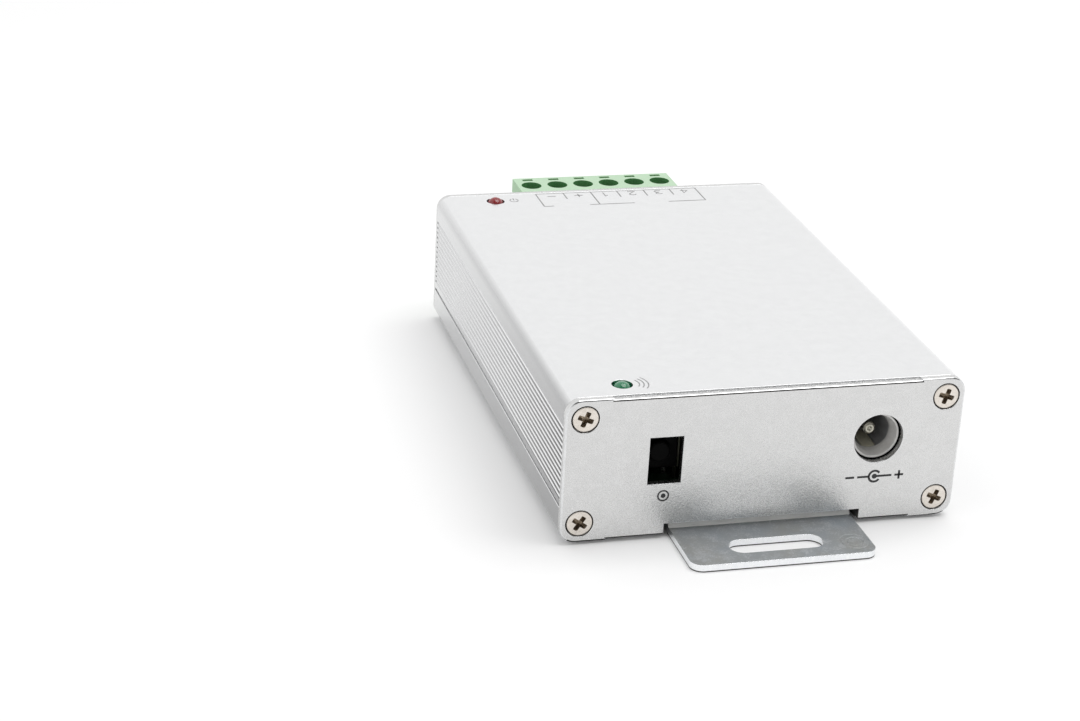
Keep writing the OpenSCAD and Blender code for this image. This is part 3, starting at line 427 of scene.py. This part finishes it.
def softEdges(name, node, width, segments, weights, edgeSlot):
    # a merged copy of a solid, whose flat areas are joined and whose sharp edges are rounded
    mesh = frame["nodes"][node].data.copy()
    mesh.name = name
    work = bmesh.new()
    work.from_mesh(mesh)
    bmesh.ops.remove_doubles(work, verts=work.verts, dist=rounding["merge"])
    bmesh.ops.dissolve_limit(work, angle_limit=math.radians(rounding["flat"]), verts=work.verts,
        edges=work.edges)
    bmesh.ops.recalc_face_normals(work, faces=work.faces)
    floats = work.edges.layers.float
    layer = floats.get("bevel_weight_edge") or floats.new("bevel_weight_edge")
    steep = math.radians(rounding["sharp"])
    for edge in work.edges:
        sharp = len(edge.link_faces) == 2 and edge.calc_face_angle() > steep
        edge[layer] = 0.0
        if sharp:
            middle = (edge.verts[0].co + edge.verts[1].co)/2/mm
            edge[layer] = weights(middle) if weights else 1.0
        edge.smooth = not sharp
    for face in work.faces:
        face.smooth = True
    work.to_mesh(mesh)
    work.free()
    if edgeSlot > 0:  # the place must be there before the rounding is baked
        mesh.materials.append(cutEdge)
    obj = addPiece(name, mesh)
    bevel = obj.modifiers.new("edges", "BEVEL")
    bevel.limit_method = "WEIGHT"
    bevel.width = width*mm
    bevel.segments = segments
    bevel.material = edgeSlot
    bevel.use_clamp_overlap = node not in rounding["free"]
    even = obj.modifiers.new("even", "WEIGHTED_NORMAL")
    even.keep_sharp = True
    bakeModifiers(obj)
    return obj


def paintFaces(piece, rule):
    # rule gives a finish's place in the piece's list from a face's middle in millimetres, its
    # normal and its present place
    polygons = piece.data.polygons
    index = [rule([v/mm for v in p.center], p.normal, p.material_index) for p in polygons]
    polygons.foreach_set("material_index", index)


# what tells the edges and faces of a piece apart: places in millimetres, parts of a normal, and
# shares of the full rounding

endPlate = {
    "outerY": 46.4, "sideX": 32.4, "topZ": 24.0, "bottomZ": 0.61,
    "middleZ": 12.4, "cornerX": 29, "cornerZ": 9.4,  # beyond these an edge is at a corner,
    "arcX": 30, "arcZ": 9.5, "arcR": 2.4,  # and on the outline if it's outside this circle
    "rim": 1.0, "hole": 0.3, "inner": 0.15,
    "notchX": 17.5, "notchZ": 2.9, "notchWall": 0.8,
    "bevelY": 46.1, "lowZ": 1, "lowDip": -0.12,
    "highZ": 23.9, "shadeX": 25, "shadeMiddle": 0.12, "shadeEnds": 0.4, "shadeTop": 0.7,
}


def plateWeights(middle):
    # the outline of an end plate's outer face takes the full rounding, its holes a third
    e = endPlate
    x, z, rise = abs(middle.x), middle.z, abs(middle.z - e["middleZ"])
    if abs(middle.y) <= e["outerY"]:
        return e["inner"]
    corner = x > e["cornerX"] and rise > e["cornerZ"]
    past = math.hypot(x - e["arcX"], rise - e["arcZ"]) > e["arcR"]
    rim = x > e["sideX"] or z > e["topZ"] or z < e["bottomZ"] or corner and past
    return e["rim"] if rim else e["hole"]


def plateFaces(middle, normal, now):
    # 2, painted shade, on the walls of the notch for the mounting plate and on a strip of the top
    # edge's rounding; 3, a painted contact shadow, on the bottom edge's rounding
    e = endPlate
    x, z = abs(middle[0]), middle[2]
    if abs(normal.x) > e["notchWall"] and x < e["notchX"] and z < e["notchZ"]:
        return 2
    if now != 1 or abs(middle[1]) < e["bevelY"]:
        return now
    if z < e["lowZ"] and normal.z < e["lowDip"]:
        return 3
    shadeLow = e["shadeMiddle"] if x < e["shadeX"] else e["shadeEnds"]
    return 2 if z > e["highZ"] and shadeLow < normal.z < e["shadeTop"] else now


caseSides = {
    "endY": 45.2, "endX": 32.1, "topZ": 24.3, "bottomZ": 0.45,
    "ridgeX": 32.4, "valleyX": 31.9,
    "ridge": 1.0, "valley": 0.4, "end": 0.5,
    "recessX": 17.5, "recessZ": (0.45, 2.9),
    "sideX": 31.6,
    "groovesZ": (7.3, 20), "grooveUp": 0.6,
    "seamZ": (5.7, 6.9), "seamWall": 0.35,
}


def caseWeights(middle):
    # ridges of the side grooves round most, valleys and ends a little, inner edges not at all
    c = caseSides
    x, z = abs(middle.x), middle.z
    if abs(middle.y) > c["endY"]:
        return c["end"] if x > c["endX"] or z > c["topZ"] or z < c["bottomZ"] else 0.0
    if x > c["ridgeX"]:
        return c["ridge"]
    if x > c["valleyX"]:
        return c["valley"]
    return c["end"] if z > c["topZ"] else 0.0


def caseFaces(middle, normal, now):
    # 1 on the up-facing walls of the side grooves, with painted shade growing towards the rear;
    # 3 on the ribs between them, painted shade fading towards the rear; 1 on the walls of the wide
    # seam and 4 on its floor, painted shade at the front; 2, painted shade, in the recess for the
    # mounting plate
    c = caseSides
    x, z = abs(middle[0]), middle[2]
    if x < c["recessX"] and c["recessZ"][0] < z < c["recessZ"][1]:
        return 2
    if x < c["sideX"]:
        return now
    if c["groovesZ"][0] < z < c["groovesZ"][1]:
        return 1 if normal.z > c["grooveUp"] else 3
    if c["seamZ"][0] < z < c["seamZ"][1]:
        return 1 if abs(normal.z) > c["seamWall"] else 4
    return now


terminalHousing = {
    "poles": 6, "firstX": -12.45, "pitch": 5.08, "holeY": 53.9, "holeR": 1.95, "holeZ": 22.8,
    "up": 0.9, "topZ": 21,
}


def terminalFaces(middle, normal, now):
    # 1, paler on top as painted light; 2, deeper green as painted shade, down in the screw holes
    t = terminalHousing
    x, y, z = middle
    poles = [t["firstX"] + t["pitch"]*i for i in range(t["poles"])]
    away = min(math.hypot(x - pole, y - t["holeY"]) for pole in poles)
    if away < t["holeR"] and z < t["holeZ"]:
        return 2
    return 1 if normal.z > t["up"] and z > t["topZ"] else now


jackBarrel = {"x": 18.7, "z": 14.65, "boreR": 3.05, "boreY": -43.3}


def jackFaces(middle, normal, now):
    # 1, duller and darker as painted shade, in the bore behind the funnel
    j = jackBarrel
    away = math.hypot(middle[0] - j["x"], middle[2] - j["z"])
    return 1 if away < j["boreR"] and middle[1] > j["boreY"] else now


mountingPlate = {
    "ringX": 13, "ringY": 54.5, "ringR": 2.8,
    "wall": 0.5,
    "bendUp": (0.5, 0.95), "bendY": (44.3, 46),
}


def zincFaces(middle, normal, now):
    # 1 on the walls, sheared bright with a painted contact shadow at the foot, and 2 on the bends,
    # a painted highlight; the pressed rings stay plain
    m = mountingPlate
    y = abs(middle[1])
    if math.hypot(middle[0] - m["ringX"], y - m["ringY"]) < m["ringR"]:
        return 0
    if abs(normal.z) < m["wall"]:
        return 1
    up = m["bendUp"][0] < normal.z < m["bendUp"][1]
    return 2 if up and m["bendY"][0] < y < m["bendY"][1] else now


dressed = [  # piece, node, the rounding's width in millimetres, its segments and its weights
    ("caseShell", "case", 0.12, 3, caseWeights),
    ("frontPlate", "front_plate", 0.3, 4, plateWeights),
    ("rearPlate", "rear_plate", 0.3, 4, plateWeights),
    ("mountingPlate", "mounting_plate", 0.1, 2, None),
    ("terminalHousing", "terminal_block", 0.12, 2, None),
    ("jackBarrel", "jack_barrel", 0.06, 2, None),
    ("jackBody", "jack_body", 0.12, 2, None),
    ("jackPin", "jack_centre_pin", 0.08, 3, None),
    ("jackLeaf", "jack_sleeve_contact", 0.04, 2, None),
    ("switchCase", "switch_case", 0.12, 2, None),
    ("switchBracket", "switch_bracket", 0.06, 2, None),
    ("modeButton", "mode_button", 0.1, 3, None),
    ("circuitBoard", "circuit_board", 0.05, 1, None),
]
for i in range(1, terminalHousing["poles"] + 1):
    dressed.append((f"terminalScrew{i}", f"terminal_screw_{i}", 0.1, 2, None))
    dressed.append((f"wireClamp{i}", f"wire_clamp_{i}", 0.08, 2, None))
bodyFinish = {  # in place of the slot's
    "front_plate": plateSatin,
    "rear_plate": plateSatin,
    "jack_barrel": jackPlating,
    "jack_sleeve_contact": leafMetal,
    "jack_centre_pin": pinMetal,
    "switch_bracket": shadedBracketSteel,
}
edgeFinish = {  # on the rounding
    "front_plate": cutEdge,
    "rear_plate": cutEdge,
    "mounting_plate": shearedEdge,
}
faceFinish = {  # the rule, and the finishes that follow the body's and the edge's
    "front_plate": (plateFaces, paintedShade, contactShade),
    "rear_plate": (plateFaces, paintedShade, contactShade),
    "mounting_plate": (zincFaces, bendHighlight),
    "case": (caseFaces, brightGroove, paintedShade, ribShade, seamFloor),
    "terminal_block": (terminalFaces, terminalLitTop, terminalShade),
    "jack_barrel": (jackFaces, boreShade),
}
for name, node, width, segments, weights in dressed:
    coats = [bodyFinish.get(node, finishes[slotOf[node]])]
    if node in edgeFinish:
        coats.append(edgeFinish[node])
    piece = softEdges(name, node, width, segments, weights, len(coats) - 1)
    rule, *extra = faceFinish.get(node, [None])
    standFor(piece, node, *coats, *extra)
    if rule:
        paintFaces(piece, rule)
print("solids dressed")

# shapes from point grids


def gridFaces(rows, cols, first):
    # quads between neighbouring rows, with the last column joined to the first one
    r, c = np.meshgrid(np.arange(rows - 1), np.arange(cols), indexing="ij")
    a = r*cols + c
    b = r*cols + (c + 1) % cols
    return (np.stack([a, b, b + cols, a + cols], -1).reshape(-1, 4) + first).tolist()


def gridPiece(name, points, faces, sharp):
    # points in millimetres; edges steeper than sharp stay crisp
    mesh = bpy.data.meshes.new(name)
    mesh.from_pydata((np.asarray(points)*mm).tolist(), [], faces)
    work = bmesh.new()
    work.from_mesh(mesh)
    bmesh.ops.recalc_face_normals(work, faces=work.faces)
    work.to_mesh(mesh)
    work.free()
    mesh.polygons.foreach_set("use_smooth", [True]*len(mesh.polygons))
    mesh.set_sharp_from_angle(angle=math.radians(sharp))
    return addPiece(name, mesh)


# countersunk screws with a cross recess

endScrews = {  # millimetres, and degrees for angles and turns
    "headR": 2.04,
    "rim": 0.1,
    "rimAngles": (15, 35, 55, 75, 90),
    "coneDepth": 0.95,
    "shankR": 1.03,
    "length": 9.0,
    "tipLength": 1.0,
    "tipR": 0.4,
    "threadPitch": 0.7,
    "threadDepth": 0.14,
    "threadStart": 0.1,
    "threadRows": 72,
    "armTop": 0.4,  # half the width of an arm at the head's face
    "armFloor": 0.26,
    "armReach": 1.3,
    "armRun": 0.5,
    "armFall": 0.75,
    "armSteps": (4, 3, 5),  # points over half an arm's floor, its wall and half the face beside it
    "depth": 0.95,
    "crown": 0.03,
    "innerRings": (0.12, 0.25, 0.36, 0.46, 0.56),
    "armRings": 9,
    "armStart": 0.66,
    "outerRings": (1.6, 1.85),
    "ringGap": 0.05,
    "x": 29.4,
    "heights": (3.6, 21.2),
    "faceY": 46.3,
    "lean": (0.08, -0.07),  # how far each sits from the middle of its countersink
    "frontTurns": (-34, -24, -22, -18),  # low at -x, low at +x, high at -x, high at +x
    "rearTurns": (12, 50, -30, 27),
    "recessEdge": 0.03,
    "sharp": 32,
}


def ringAt(r, turn, z):
    # points at radius r and height z, each a number or one for each angle
    return np.stack([r*np.cos(turn), r*np.sin(turn), np.full(len(turn), z)], -1)


def screwPoints(s):
    # rings from the recess's middle out to the rim, then down the cone and the threaded shank.
    # an arm's floor rises from the middle depth to the face at its reach, and its sides slope from
    # the floor's half width to the top's, so the rings' angles are set to follow those two widths.
    # the rim is an arc, and the thread takes from the shank's radius a triangle wave of the height
    # over the pitch, less the turn
    radii = np.concatenate([s["innerRings"],
        np.linspace(s["armStart"], s["armReach"], s["armRings"]),
        [s["armReach"] + s["ringGap"], *s["outerRings"]]])
    eighth = math.pi/4
    floor, slope, face = s["armSteps"]
    rows = []
    for r in radii:
        low, high = (math.asin(min(w/r, math.sin(eighth))) for w in (s["armFloor"], s["armTop"]))
        half = np.concatenate([np.linspace(0, low, floor), np.linspace(low, high, slope)[1:],
            np.linspace(high, eighth, face)[1:]])
        side = r*np.sin(half)
        run = np.clip((s["armReach"] - r)/s["armRun"], 0, 1)**s["armFall"]
        wall = np.clip((s["armTop"] - side)/(s["armTop"] - s["armFloor"]), 0, 1)
        level = -s["depth"]*run*wall + s["crown"]*(1 - (r/s["headR"])**2)
        angles = np.concatenate([half, (2*eighth - half[::-1])[1:-1]])
        levels = np.concatenate([level, level[::-1][1:-1]])
        turn = np.concatenate([angles + k*2*eighth for k in range(4)])
        rows.append(ringAt(r, turn, np.tile(levels, 4)))
    turn = np.arctan2(rows[-1][:, 1], rows[-1][:, 0])
    for a in np.radians(s["rimAngles"]):
        rows.append(ringAt(s["headR"] - s["rim"]*(1 - math.sin(a)), turn,
            -s["rim"]*(1 - math.cos(a))))
    rows.append(ringAt(s["shankR"], turn, -s["coneDepth"]))
    top, tip = s["coneDepth"] + s["threadStart"], s["length"] - s["tipLength"]
    for z in np.linspace(top, tip, s["threadRows"]):
        wave = np.abs(((z/s["threadPitch"] - turn/2/np.pi) % 1)*2 - 1)
        rows.append(ringAt(s["shankR"] - s["threadDepth"]*wave, turn, -z))
    rows.append(ringAt(s["tipR"], turn, -s["length"]))
    return np.array(rows)


def makeEndScrews(name, node, s, turns, side):
    # the four screws of a plate: rings turned about their axis, laid along Y, and closed with fans
    # to a middle point at both ends; side is 1 at the front and -1 at the rear
    rows = screwPoints(s)
    count = rows.shape[1]
    size = rows.shape[0]*count
    ends = np.array([[0, 0, rows[0, 0, 2]], [0, 0, rows[-1, 0, 2]]])
    p = np.concatenate([rows.reshape(-1, 3), ends])
    points, faces = [], []
    spots = [(x*s["x"], z) for z in s["heights"] for x in (-1, 1)]
    for (x, z), turn in zip(spots, turns):
        a = math.radians(turn)
        u = p[:, 0]*math.cos(a) - p[:, 1]*math.sin(a)
        v = p[:, 0]*math.sin(a) + p[:, 1]*math.cos(a)
        first = len(points)*len(p)
        points.append(np.stack([x + side*(u + s["lean"][0]), side*(-s["faceY"] - p[:, 2]),
            z + v + s["lean"][1]], -1))
        faces += gridFaces(len(rows), count, first)
        last = first + size
        for i in range(count):
            j = (i + 1) % count
            faces.append([last, first + j, first + i])
            faces.append([last + 1, last - count + i, last - count + j])
    obj = gridPiece(name, np.concatenate(points), faces, s["sharp"])

    def recessFaces(middle, normal, now):
        # 1, painted shade, in the cross, below the head's face
        x, y, z = middle
        r = min(math.hypot(x - a, z - b) for a, b in spots)
        deep = s["faceY"] - abs(y) > s["recessEdge"]
        return 1 if deep and r < s["armReach"] + s["recessEdge"] else 0

    standFor(obj, node, finishes[slotOf[node]], shadedRecessNickel)
    paintFaces(obj, recessFaces)


makeEndScrews("frontScrews", "front_plate_screws", endScrews, endScrews["frontTurns"], 1)
makeEndScrews("rearScrews", "rear_plate_screws", endScrews, endScrews["rearTurns"], -1)
print("screws made")

# printed marks, thin closed ribbons on the metal

ribbon = {  # millimetres, as the marks' own places and widths are
    "low": -0.01,  # a little into the metal
    "high": 0.012,
    "topZ": 24.4,
    "frontY": -46.5,
    "leastMitre": 0.5,
    "sharp": 30,
}


# a point (u, v, height above the metal) to its place on the case's top or on the front plate


def onTop(p):
    return np.stack([p[:, 0], p[:, 1], ribbon["topZ"] + p[:, 2]], -1)


def onFront(p):
    return np.stack([p[:, 0], ribbon["frontY"] - p[:, 2], p[:, 1]], -1)


def ribbonPiece(name, lines, width, onPlane, ink):
    # each line is a list of (u, v) points; a ribbon of that width follows it, mitred at its bends:
    # both edges lie across the mean of the directions before and after a point, half the width
    # away over the cosine of half the bend
    points, faces, first = [], [], 0
    for line in lines:
        p = np.array(line, float)
        loop = np.allclose(p[0], p[-1])
        if loop:
            p = p[:-1]
            before, after = p - np.roll(p, 1, 0), np.roll(p, -1, 0) - p
        else:
            step = np.diff(p, axis=0)
            before, after = np.vstack([step[:1], step]), np.vstack([step, step[-1:]])
        before /= np.linalg.norm(before, axis=1)[:, None]
        after /= np.linalg.norm(after, axis=1)[:, None]
        mean = before + after
        mean /= np.linalg.norm(mean, axis=1)[:, None]
        across = np.stack([-mean[:, 1], mean[:, 0]], -1)
        reach = width/2/np.clip(np.abs((mean*before).sum(1)), ribbon["leastMitre"], 1)
        left, right = p + across*reach[:, None], p - across*reach[:, None]
        low, high = ribbon["low"], ribbon["high"]
        for q, h in ((left, high), (right, high), (right, low), (left, low)):
            points.append(np.column_stack([q, np.full(len(q), h)]))
        n = len(p)
        for k in range(n if loop else n - 1):
            m = (k + 1) % n
            for a in range(4):
                b = (a + 1) % 4
                faces.append([first + a*n + k, first + a*n + m, first + b*n + m, first + b*n + k])
        if not loop:
            faces.append([first + a*n for a in range(4)])
            faces.append([first + a*n + n - 1 for a in (3, 2, 1, 0)])
        first += 4*n
    obj = gridPiece(name, onPlane(np.concatenate(points)), faces, ribbon["sharp"])
    obj.data.materials.append(ink)
    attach(obj, "controller")


def ringLine(x, y, r, start=0.0, stop=360.0, steps=33):
    # points of an arc of radius r about (x, y), angles in degrees
    a = np.radians(np.linspace(start, stop, steps))
    return np.stack([x + r*np.cos(a), y + r*np.sin(a)], -1)


# frame and signs over the terminals

topFrame = {
    "left": -14.1, "right": 17.0, "front": 38.0, "rear": 44.7, "middle": -3.5,
    "dividers": (-8.8, 1.6, 6.8, 11.9), "dividerFront": 41.6,
    "gaps": ((-12.3, -5.4), (3.2, 9.8)),
    "line": 0.26, "faintLine": 0.18,
}
topSigns = {
    "y": 43.2, "digitX": (-0.95, 4.2, 9.35, 14.45), "digitHeight": 1.9,
    "minusX": (-12.2, -10.6), "plusX": (-7.0, -5.4), "plusMiddle": -6.2, "plusY": (42.4, 44.0),
    "line": 0.24,
}
digitWidth = 0.7  # of a height of 1
digits = {
    "1": [[(0.22, 0.78), (0.5, 1), (0.5, 0)]],
    "2": [[(0.02, 0.78), (0.12, 0.94), (0.34, 1), (0.56, 0.94), (0.66, 0.76), (0.58, 0.56),
        (0, 0), (0.7, 0)]],
    "3": [[(0.04, 0.9), (0.3, 1), (0.56, 0.93), (0.64, 0.76), (0.54, 0.58), (0.28, 0.53)],
        [(0.28, 0.53), (0.58, 0.46), (0.68, 0.27), (0.58, 0.07), (0.3, 0), (0.02, 0.1)]],
    "4": [[(0.5, 0), (0.5, 1), (0, 0.3), (0.72, 0.3)]],
}


def reversedDigit(mark, x, y, height):
    # a digit centred on (x, y), read from the terminals' end, so its points are turned half round
    middle = np.array([digitWidth/2, 0.5])
    return [np.array([x, y]) + height*(middle - np.array(line)) for line in digits[mark]]


def topFrameLines(f):
    # a front line broken by gaps, three lines over the whole depth, and shorter dividers
    stops = [f["left"]] + [v for gap in f["gaps"] for v in gap] + [f["right"]]
    lines = [[(a, f["front"]), (b, f["front"])] for a, b in zip(stops[::2], stops[1::2])]
    for x in (f["left"], f["middle"], f["right"]):
        lines.append([(x, f["front"]), (x, f["rear"])])
    for x in f["dividers"]:
        lines.append([(x, f["dividerFront"]), (x, f["rear"])])
    return lines


def topSignLines(t):
    # a minus, a plus and the digits in a row
    lines = [[(x, t["y"]) for x in t["minusX"]], [(x, t["y"]) for x in t["plusX"]],
        [(t["plusMiddle"], y) for y in t["plusY"]]]
    for mark, x in zip("1234", t["digitX"]):
        lines += reversedDigit(mark, x, t["y"], t["digitHeight"])
    return lines


rearLine = [(topFrame["left"], topFrame["rear"]), (topFrame["right"], topFrame["rear"])]
ribbonPiece("terminalFrame", topFrameLines(topFrame), topFrame["line"], onTop, fadedInk)
ribbonPiece("terminalFrameRear", [rearLine], topFrame["faintLine"], onTop, fadedInk)
ribbonPiece("terminalMarks", topSignLines(topSigns), topSigns["line"], onTop, fadedInk)

# polarity sign under the jack, and a ring with a dot under the opening

jackMark = {
    "x": 18.7, "z": 8.1, "ring": 0.95, "ringTurn": (35, 325), "start": 0.35, "reach": 2.9,
    "gap": 0.5, "sign": 0.75, "line": 0.36, "dotR": 0.22, "dotLine": 0.42,
}
modeMark = {
    "x": -16.2, "z": 7.4, "ring": 0.85, "line": 0.26, "dotR": 0.2, "dotLine": 0.38,
}
dotSteps = 17


def polarityLines(j):
    # an open ring, and lines from it and from its middle to a minus and to a plus
    x, z, r, e, s = j["x"], j["z"], j["ring"], j["reach"], j["sign"]
    far = e + j["gap"]
    return [ringLine(x, z, r, *j["ringTurn"]), [(x + j["start"], z), (x + e, z)],
        [(x - e, z), (x - r, z)], [(x - far - s*2, z), (x - far, z)],
        [(x + far, z), (x + far + s*2, z)], [(x + far + s, z - s), (x + far + s, z + s)]]


def dotRing(d):
    # a ring so small that its line fills it
    return ringLine(d["x"], d["z"], d["dotR"], steps=dotSteps)


modeRing = ringLine(modeMark["x"], modeMark["z"], modeMark["ring"])
ribbonPiece("polaritySign", polarityLines(jackMark), jackMark["line"], onFront, inkFinish)
ribbonPiece("polarityDot", [dotRing(jackMark)], jackMark["dotLine"], onFront, inkFinish)
ribbonPiece("modeMark", [modeRing], modeMark["line"], onFront, inkFinish)
ribbonPiece("modeDot", [dotRing(modeMark)], modeMark["dotLine"], onFront, inkFinish)

# marks beside the two lights

signalMark = {
    "x": -21.6, "y": -41.4, "radii": (1.9, 2.6, 3.3), "turn": (-38, 38), "steps": 13,
    "line": 0.2,
}
powerMark = {"x": -18.9, "y": 41.9, "ring": 0.75, "turn": (120, 420), "tip": 42.9, "line": 0.2}


def signalLines(w):
    # arcs of growing radius about one point
    return [ringLine(w["x"], w["y"], r, *w["turn"], w["steps"]) for r in w["radii"]]


def powerLines(w):
    # an open ring with a line from its middle out through the gap
    stem = [(w["x"], w["tip"]), (w["x"], w["y"])]
    return [ringLine(w["x"], w["y"], w["ring"], *w["turn"]), stem]


ribbonPiece("signalMark", signalLines(signalMark), signalMark["line"], onTop, fadedInk)
ribbonPiece("powerMark", powerLines(powerMark), powerMark["line"], onTop, fadedInk)
print("marks printed")

# floor and light

studio = {
    "floorTone": 0.94,
    "floorSide": 6.0,
    "floorLevel": -0.00003,
    "cameraWhite": 1.0,
    "floorVeil": 0.25,  # share of plain white near the object, for the camera and reflections
    "fade": (0.25, 0.8),  # metres from the object's middle, between which it grows to all white
    "foot": (0.0325, 0.0465),  # half sizes of the case, under which there is no such white
    "footEdges": (-0.001, 0.0015),
    "skyTone": 1.0,
    "skyDark": 0.3,
    "skyLean": (0.1, -0.62, 0.78),  # towards the dark part
    "skyEdges": (0.5, 0.9),  # cosines of the angle to it, between which pale turns dark
}
keyBox = {
    "place": (0.19, -0.04, 0.72),
    "aim": (0, 0, 0),
    "along": (0, 1, 0.01),
    "size": (0.55, 0.55),
    "watts": 3.1,
}


def makeFloor(s):
    # a level square of pale paper. The camera and reflections see plain white over it: the veil's
    # share near the object, all of it from the end of the fade on, and none under the case
    half, level = s["floorSide"]/2, s["floorLevel"]
    mesh = bpy.data.meshes.new("floor")
    mesh.from_pydata([(-half, -half, level), (half, -half, level), (half, half, level),
        (-half, half, level)], [], [(0, 1, 2, 3)])
    floor = addPiece("floor", mesh)
    mat = bpy.data.materials.new("paperFloor")
    mat.use_nodes = True
    tree = mat.node_tree
    tree.nodes.clear()
    tone = s["floorTone"]
    paper = addNode(tree, "ShaderNodeBsdfDiffuse", {"Color": (tone, tone, tone, 1)})
    white = addNode(tree, "ShaderNodeEmission",
        {"Color": (1, 1, 1, 1), "Strength": s["cameraWhite"]})
    path = addNode(tree, "ShaderNodeLightPath").outputs
    seen = doMath(tree, "MAXIMUM", path["Is Camera Ray"], path["Is Glossy Ray"])
    shown = doMath(tree, "MAXIMUM", seen, path["Is Transmission Ray"])
    place = addNode(tree, "ShaderNodeTexCoord")
    away = addNode(tree, "ShaderNodeVectorMath", {0: place.outputs["Object"]}, operation="LENGTH")
    fade = mapRange(tree, away.outputs["Value"], s["fade"], s["floorVeil"], 1.0,
        interpolation_type="SMOOTHSTEP")
    axes = objectAxes(tree)
    past = [doMath(tree, "SUBTRACT", doMath(tree, "ABSOLUTE", axes[axis]), reach)
        for axis, reach in zip("XY", s["foot"])]
    clear = mapRange(tree, doMath(tree, "MAXIMUM", *past), s["footEdges"], 0.0, 1.0)
    veil = doMath(tree, "MULTIPLY", doMath(tree, "MULTIPLY", shown, clear), fade)
    both = addNode(tree, "ShaderNodeMixShader",
        {0: veil, 1: paper.outputs[0], 2: white.outputs[0]})
    addNode(tree, "ShaderNodeOutputMaterial", {"Surface": both.outputs[0]})
    mesh.materials.append(mat)


def makeSky(s):
    # pale all round and behind, darker high up towards the front, as in a room with a pale backdrop
    world = bpy.data.worlds.new("studio")
    world.use_nodes = True
    bpy.context.scene.world = world
    tree = world.node_tree
    tree.nodes.clear()
    place = addNode(tree, "ShaderNodeTexCoord")
    lean = addNode(tree, "ShaderNodeVectorMath",
        {0: place.outputs["Generated"], 1: s["skyLean"]}, operation="DOT_PRODUCT")
    level = mapRange(tree, lean.outputs["Value"], s["skyEdges"], s["skyTone"], s["skyDark"],
        interpolation_type="SMOOTHSTEP")
    back = addNode(tree, "ShaderNodeBackground", {"Color": (1, 1, 1, 1), "Strength": level})
    addNode(tree, "ShaderNodeOutputWorld", {"Surface": back.outputs[0]})


def softBox(name, b):
    # the lamp faces its aim, its first side across both that line and the along direction
    lamp = bpy.data.lights.new(name, "AREA")
    lamp.shape = "RECTANGLE"
    lamp.size, lamp.size_y = b["size"]
    lamp.energy = b["watts"]
    obj = bpy.data.objects.new(name, lamp)
    back = np.array(b["place"], float) - np.array(b["aim"], float)
    back /= np.linalg.norm(back)
    side = np.cross(b["along"], back)
    side /= np.linalg.norm(side)
    standAt(obj, b["place"], side, np.cross(back, side), back)


makeFloor(studio)
makeSky(studio)
softBox("keyBox", keyBox)
print("floor and light set")
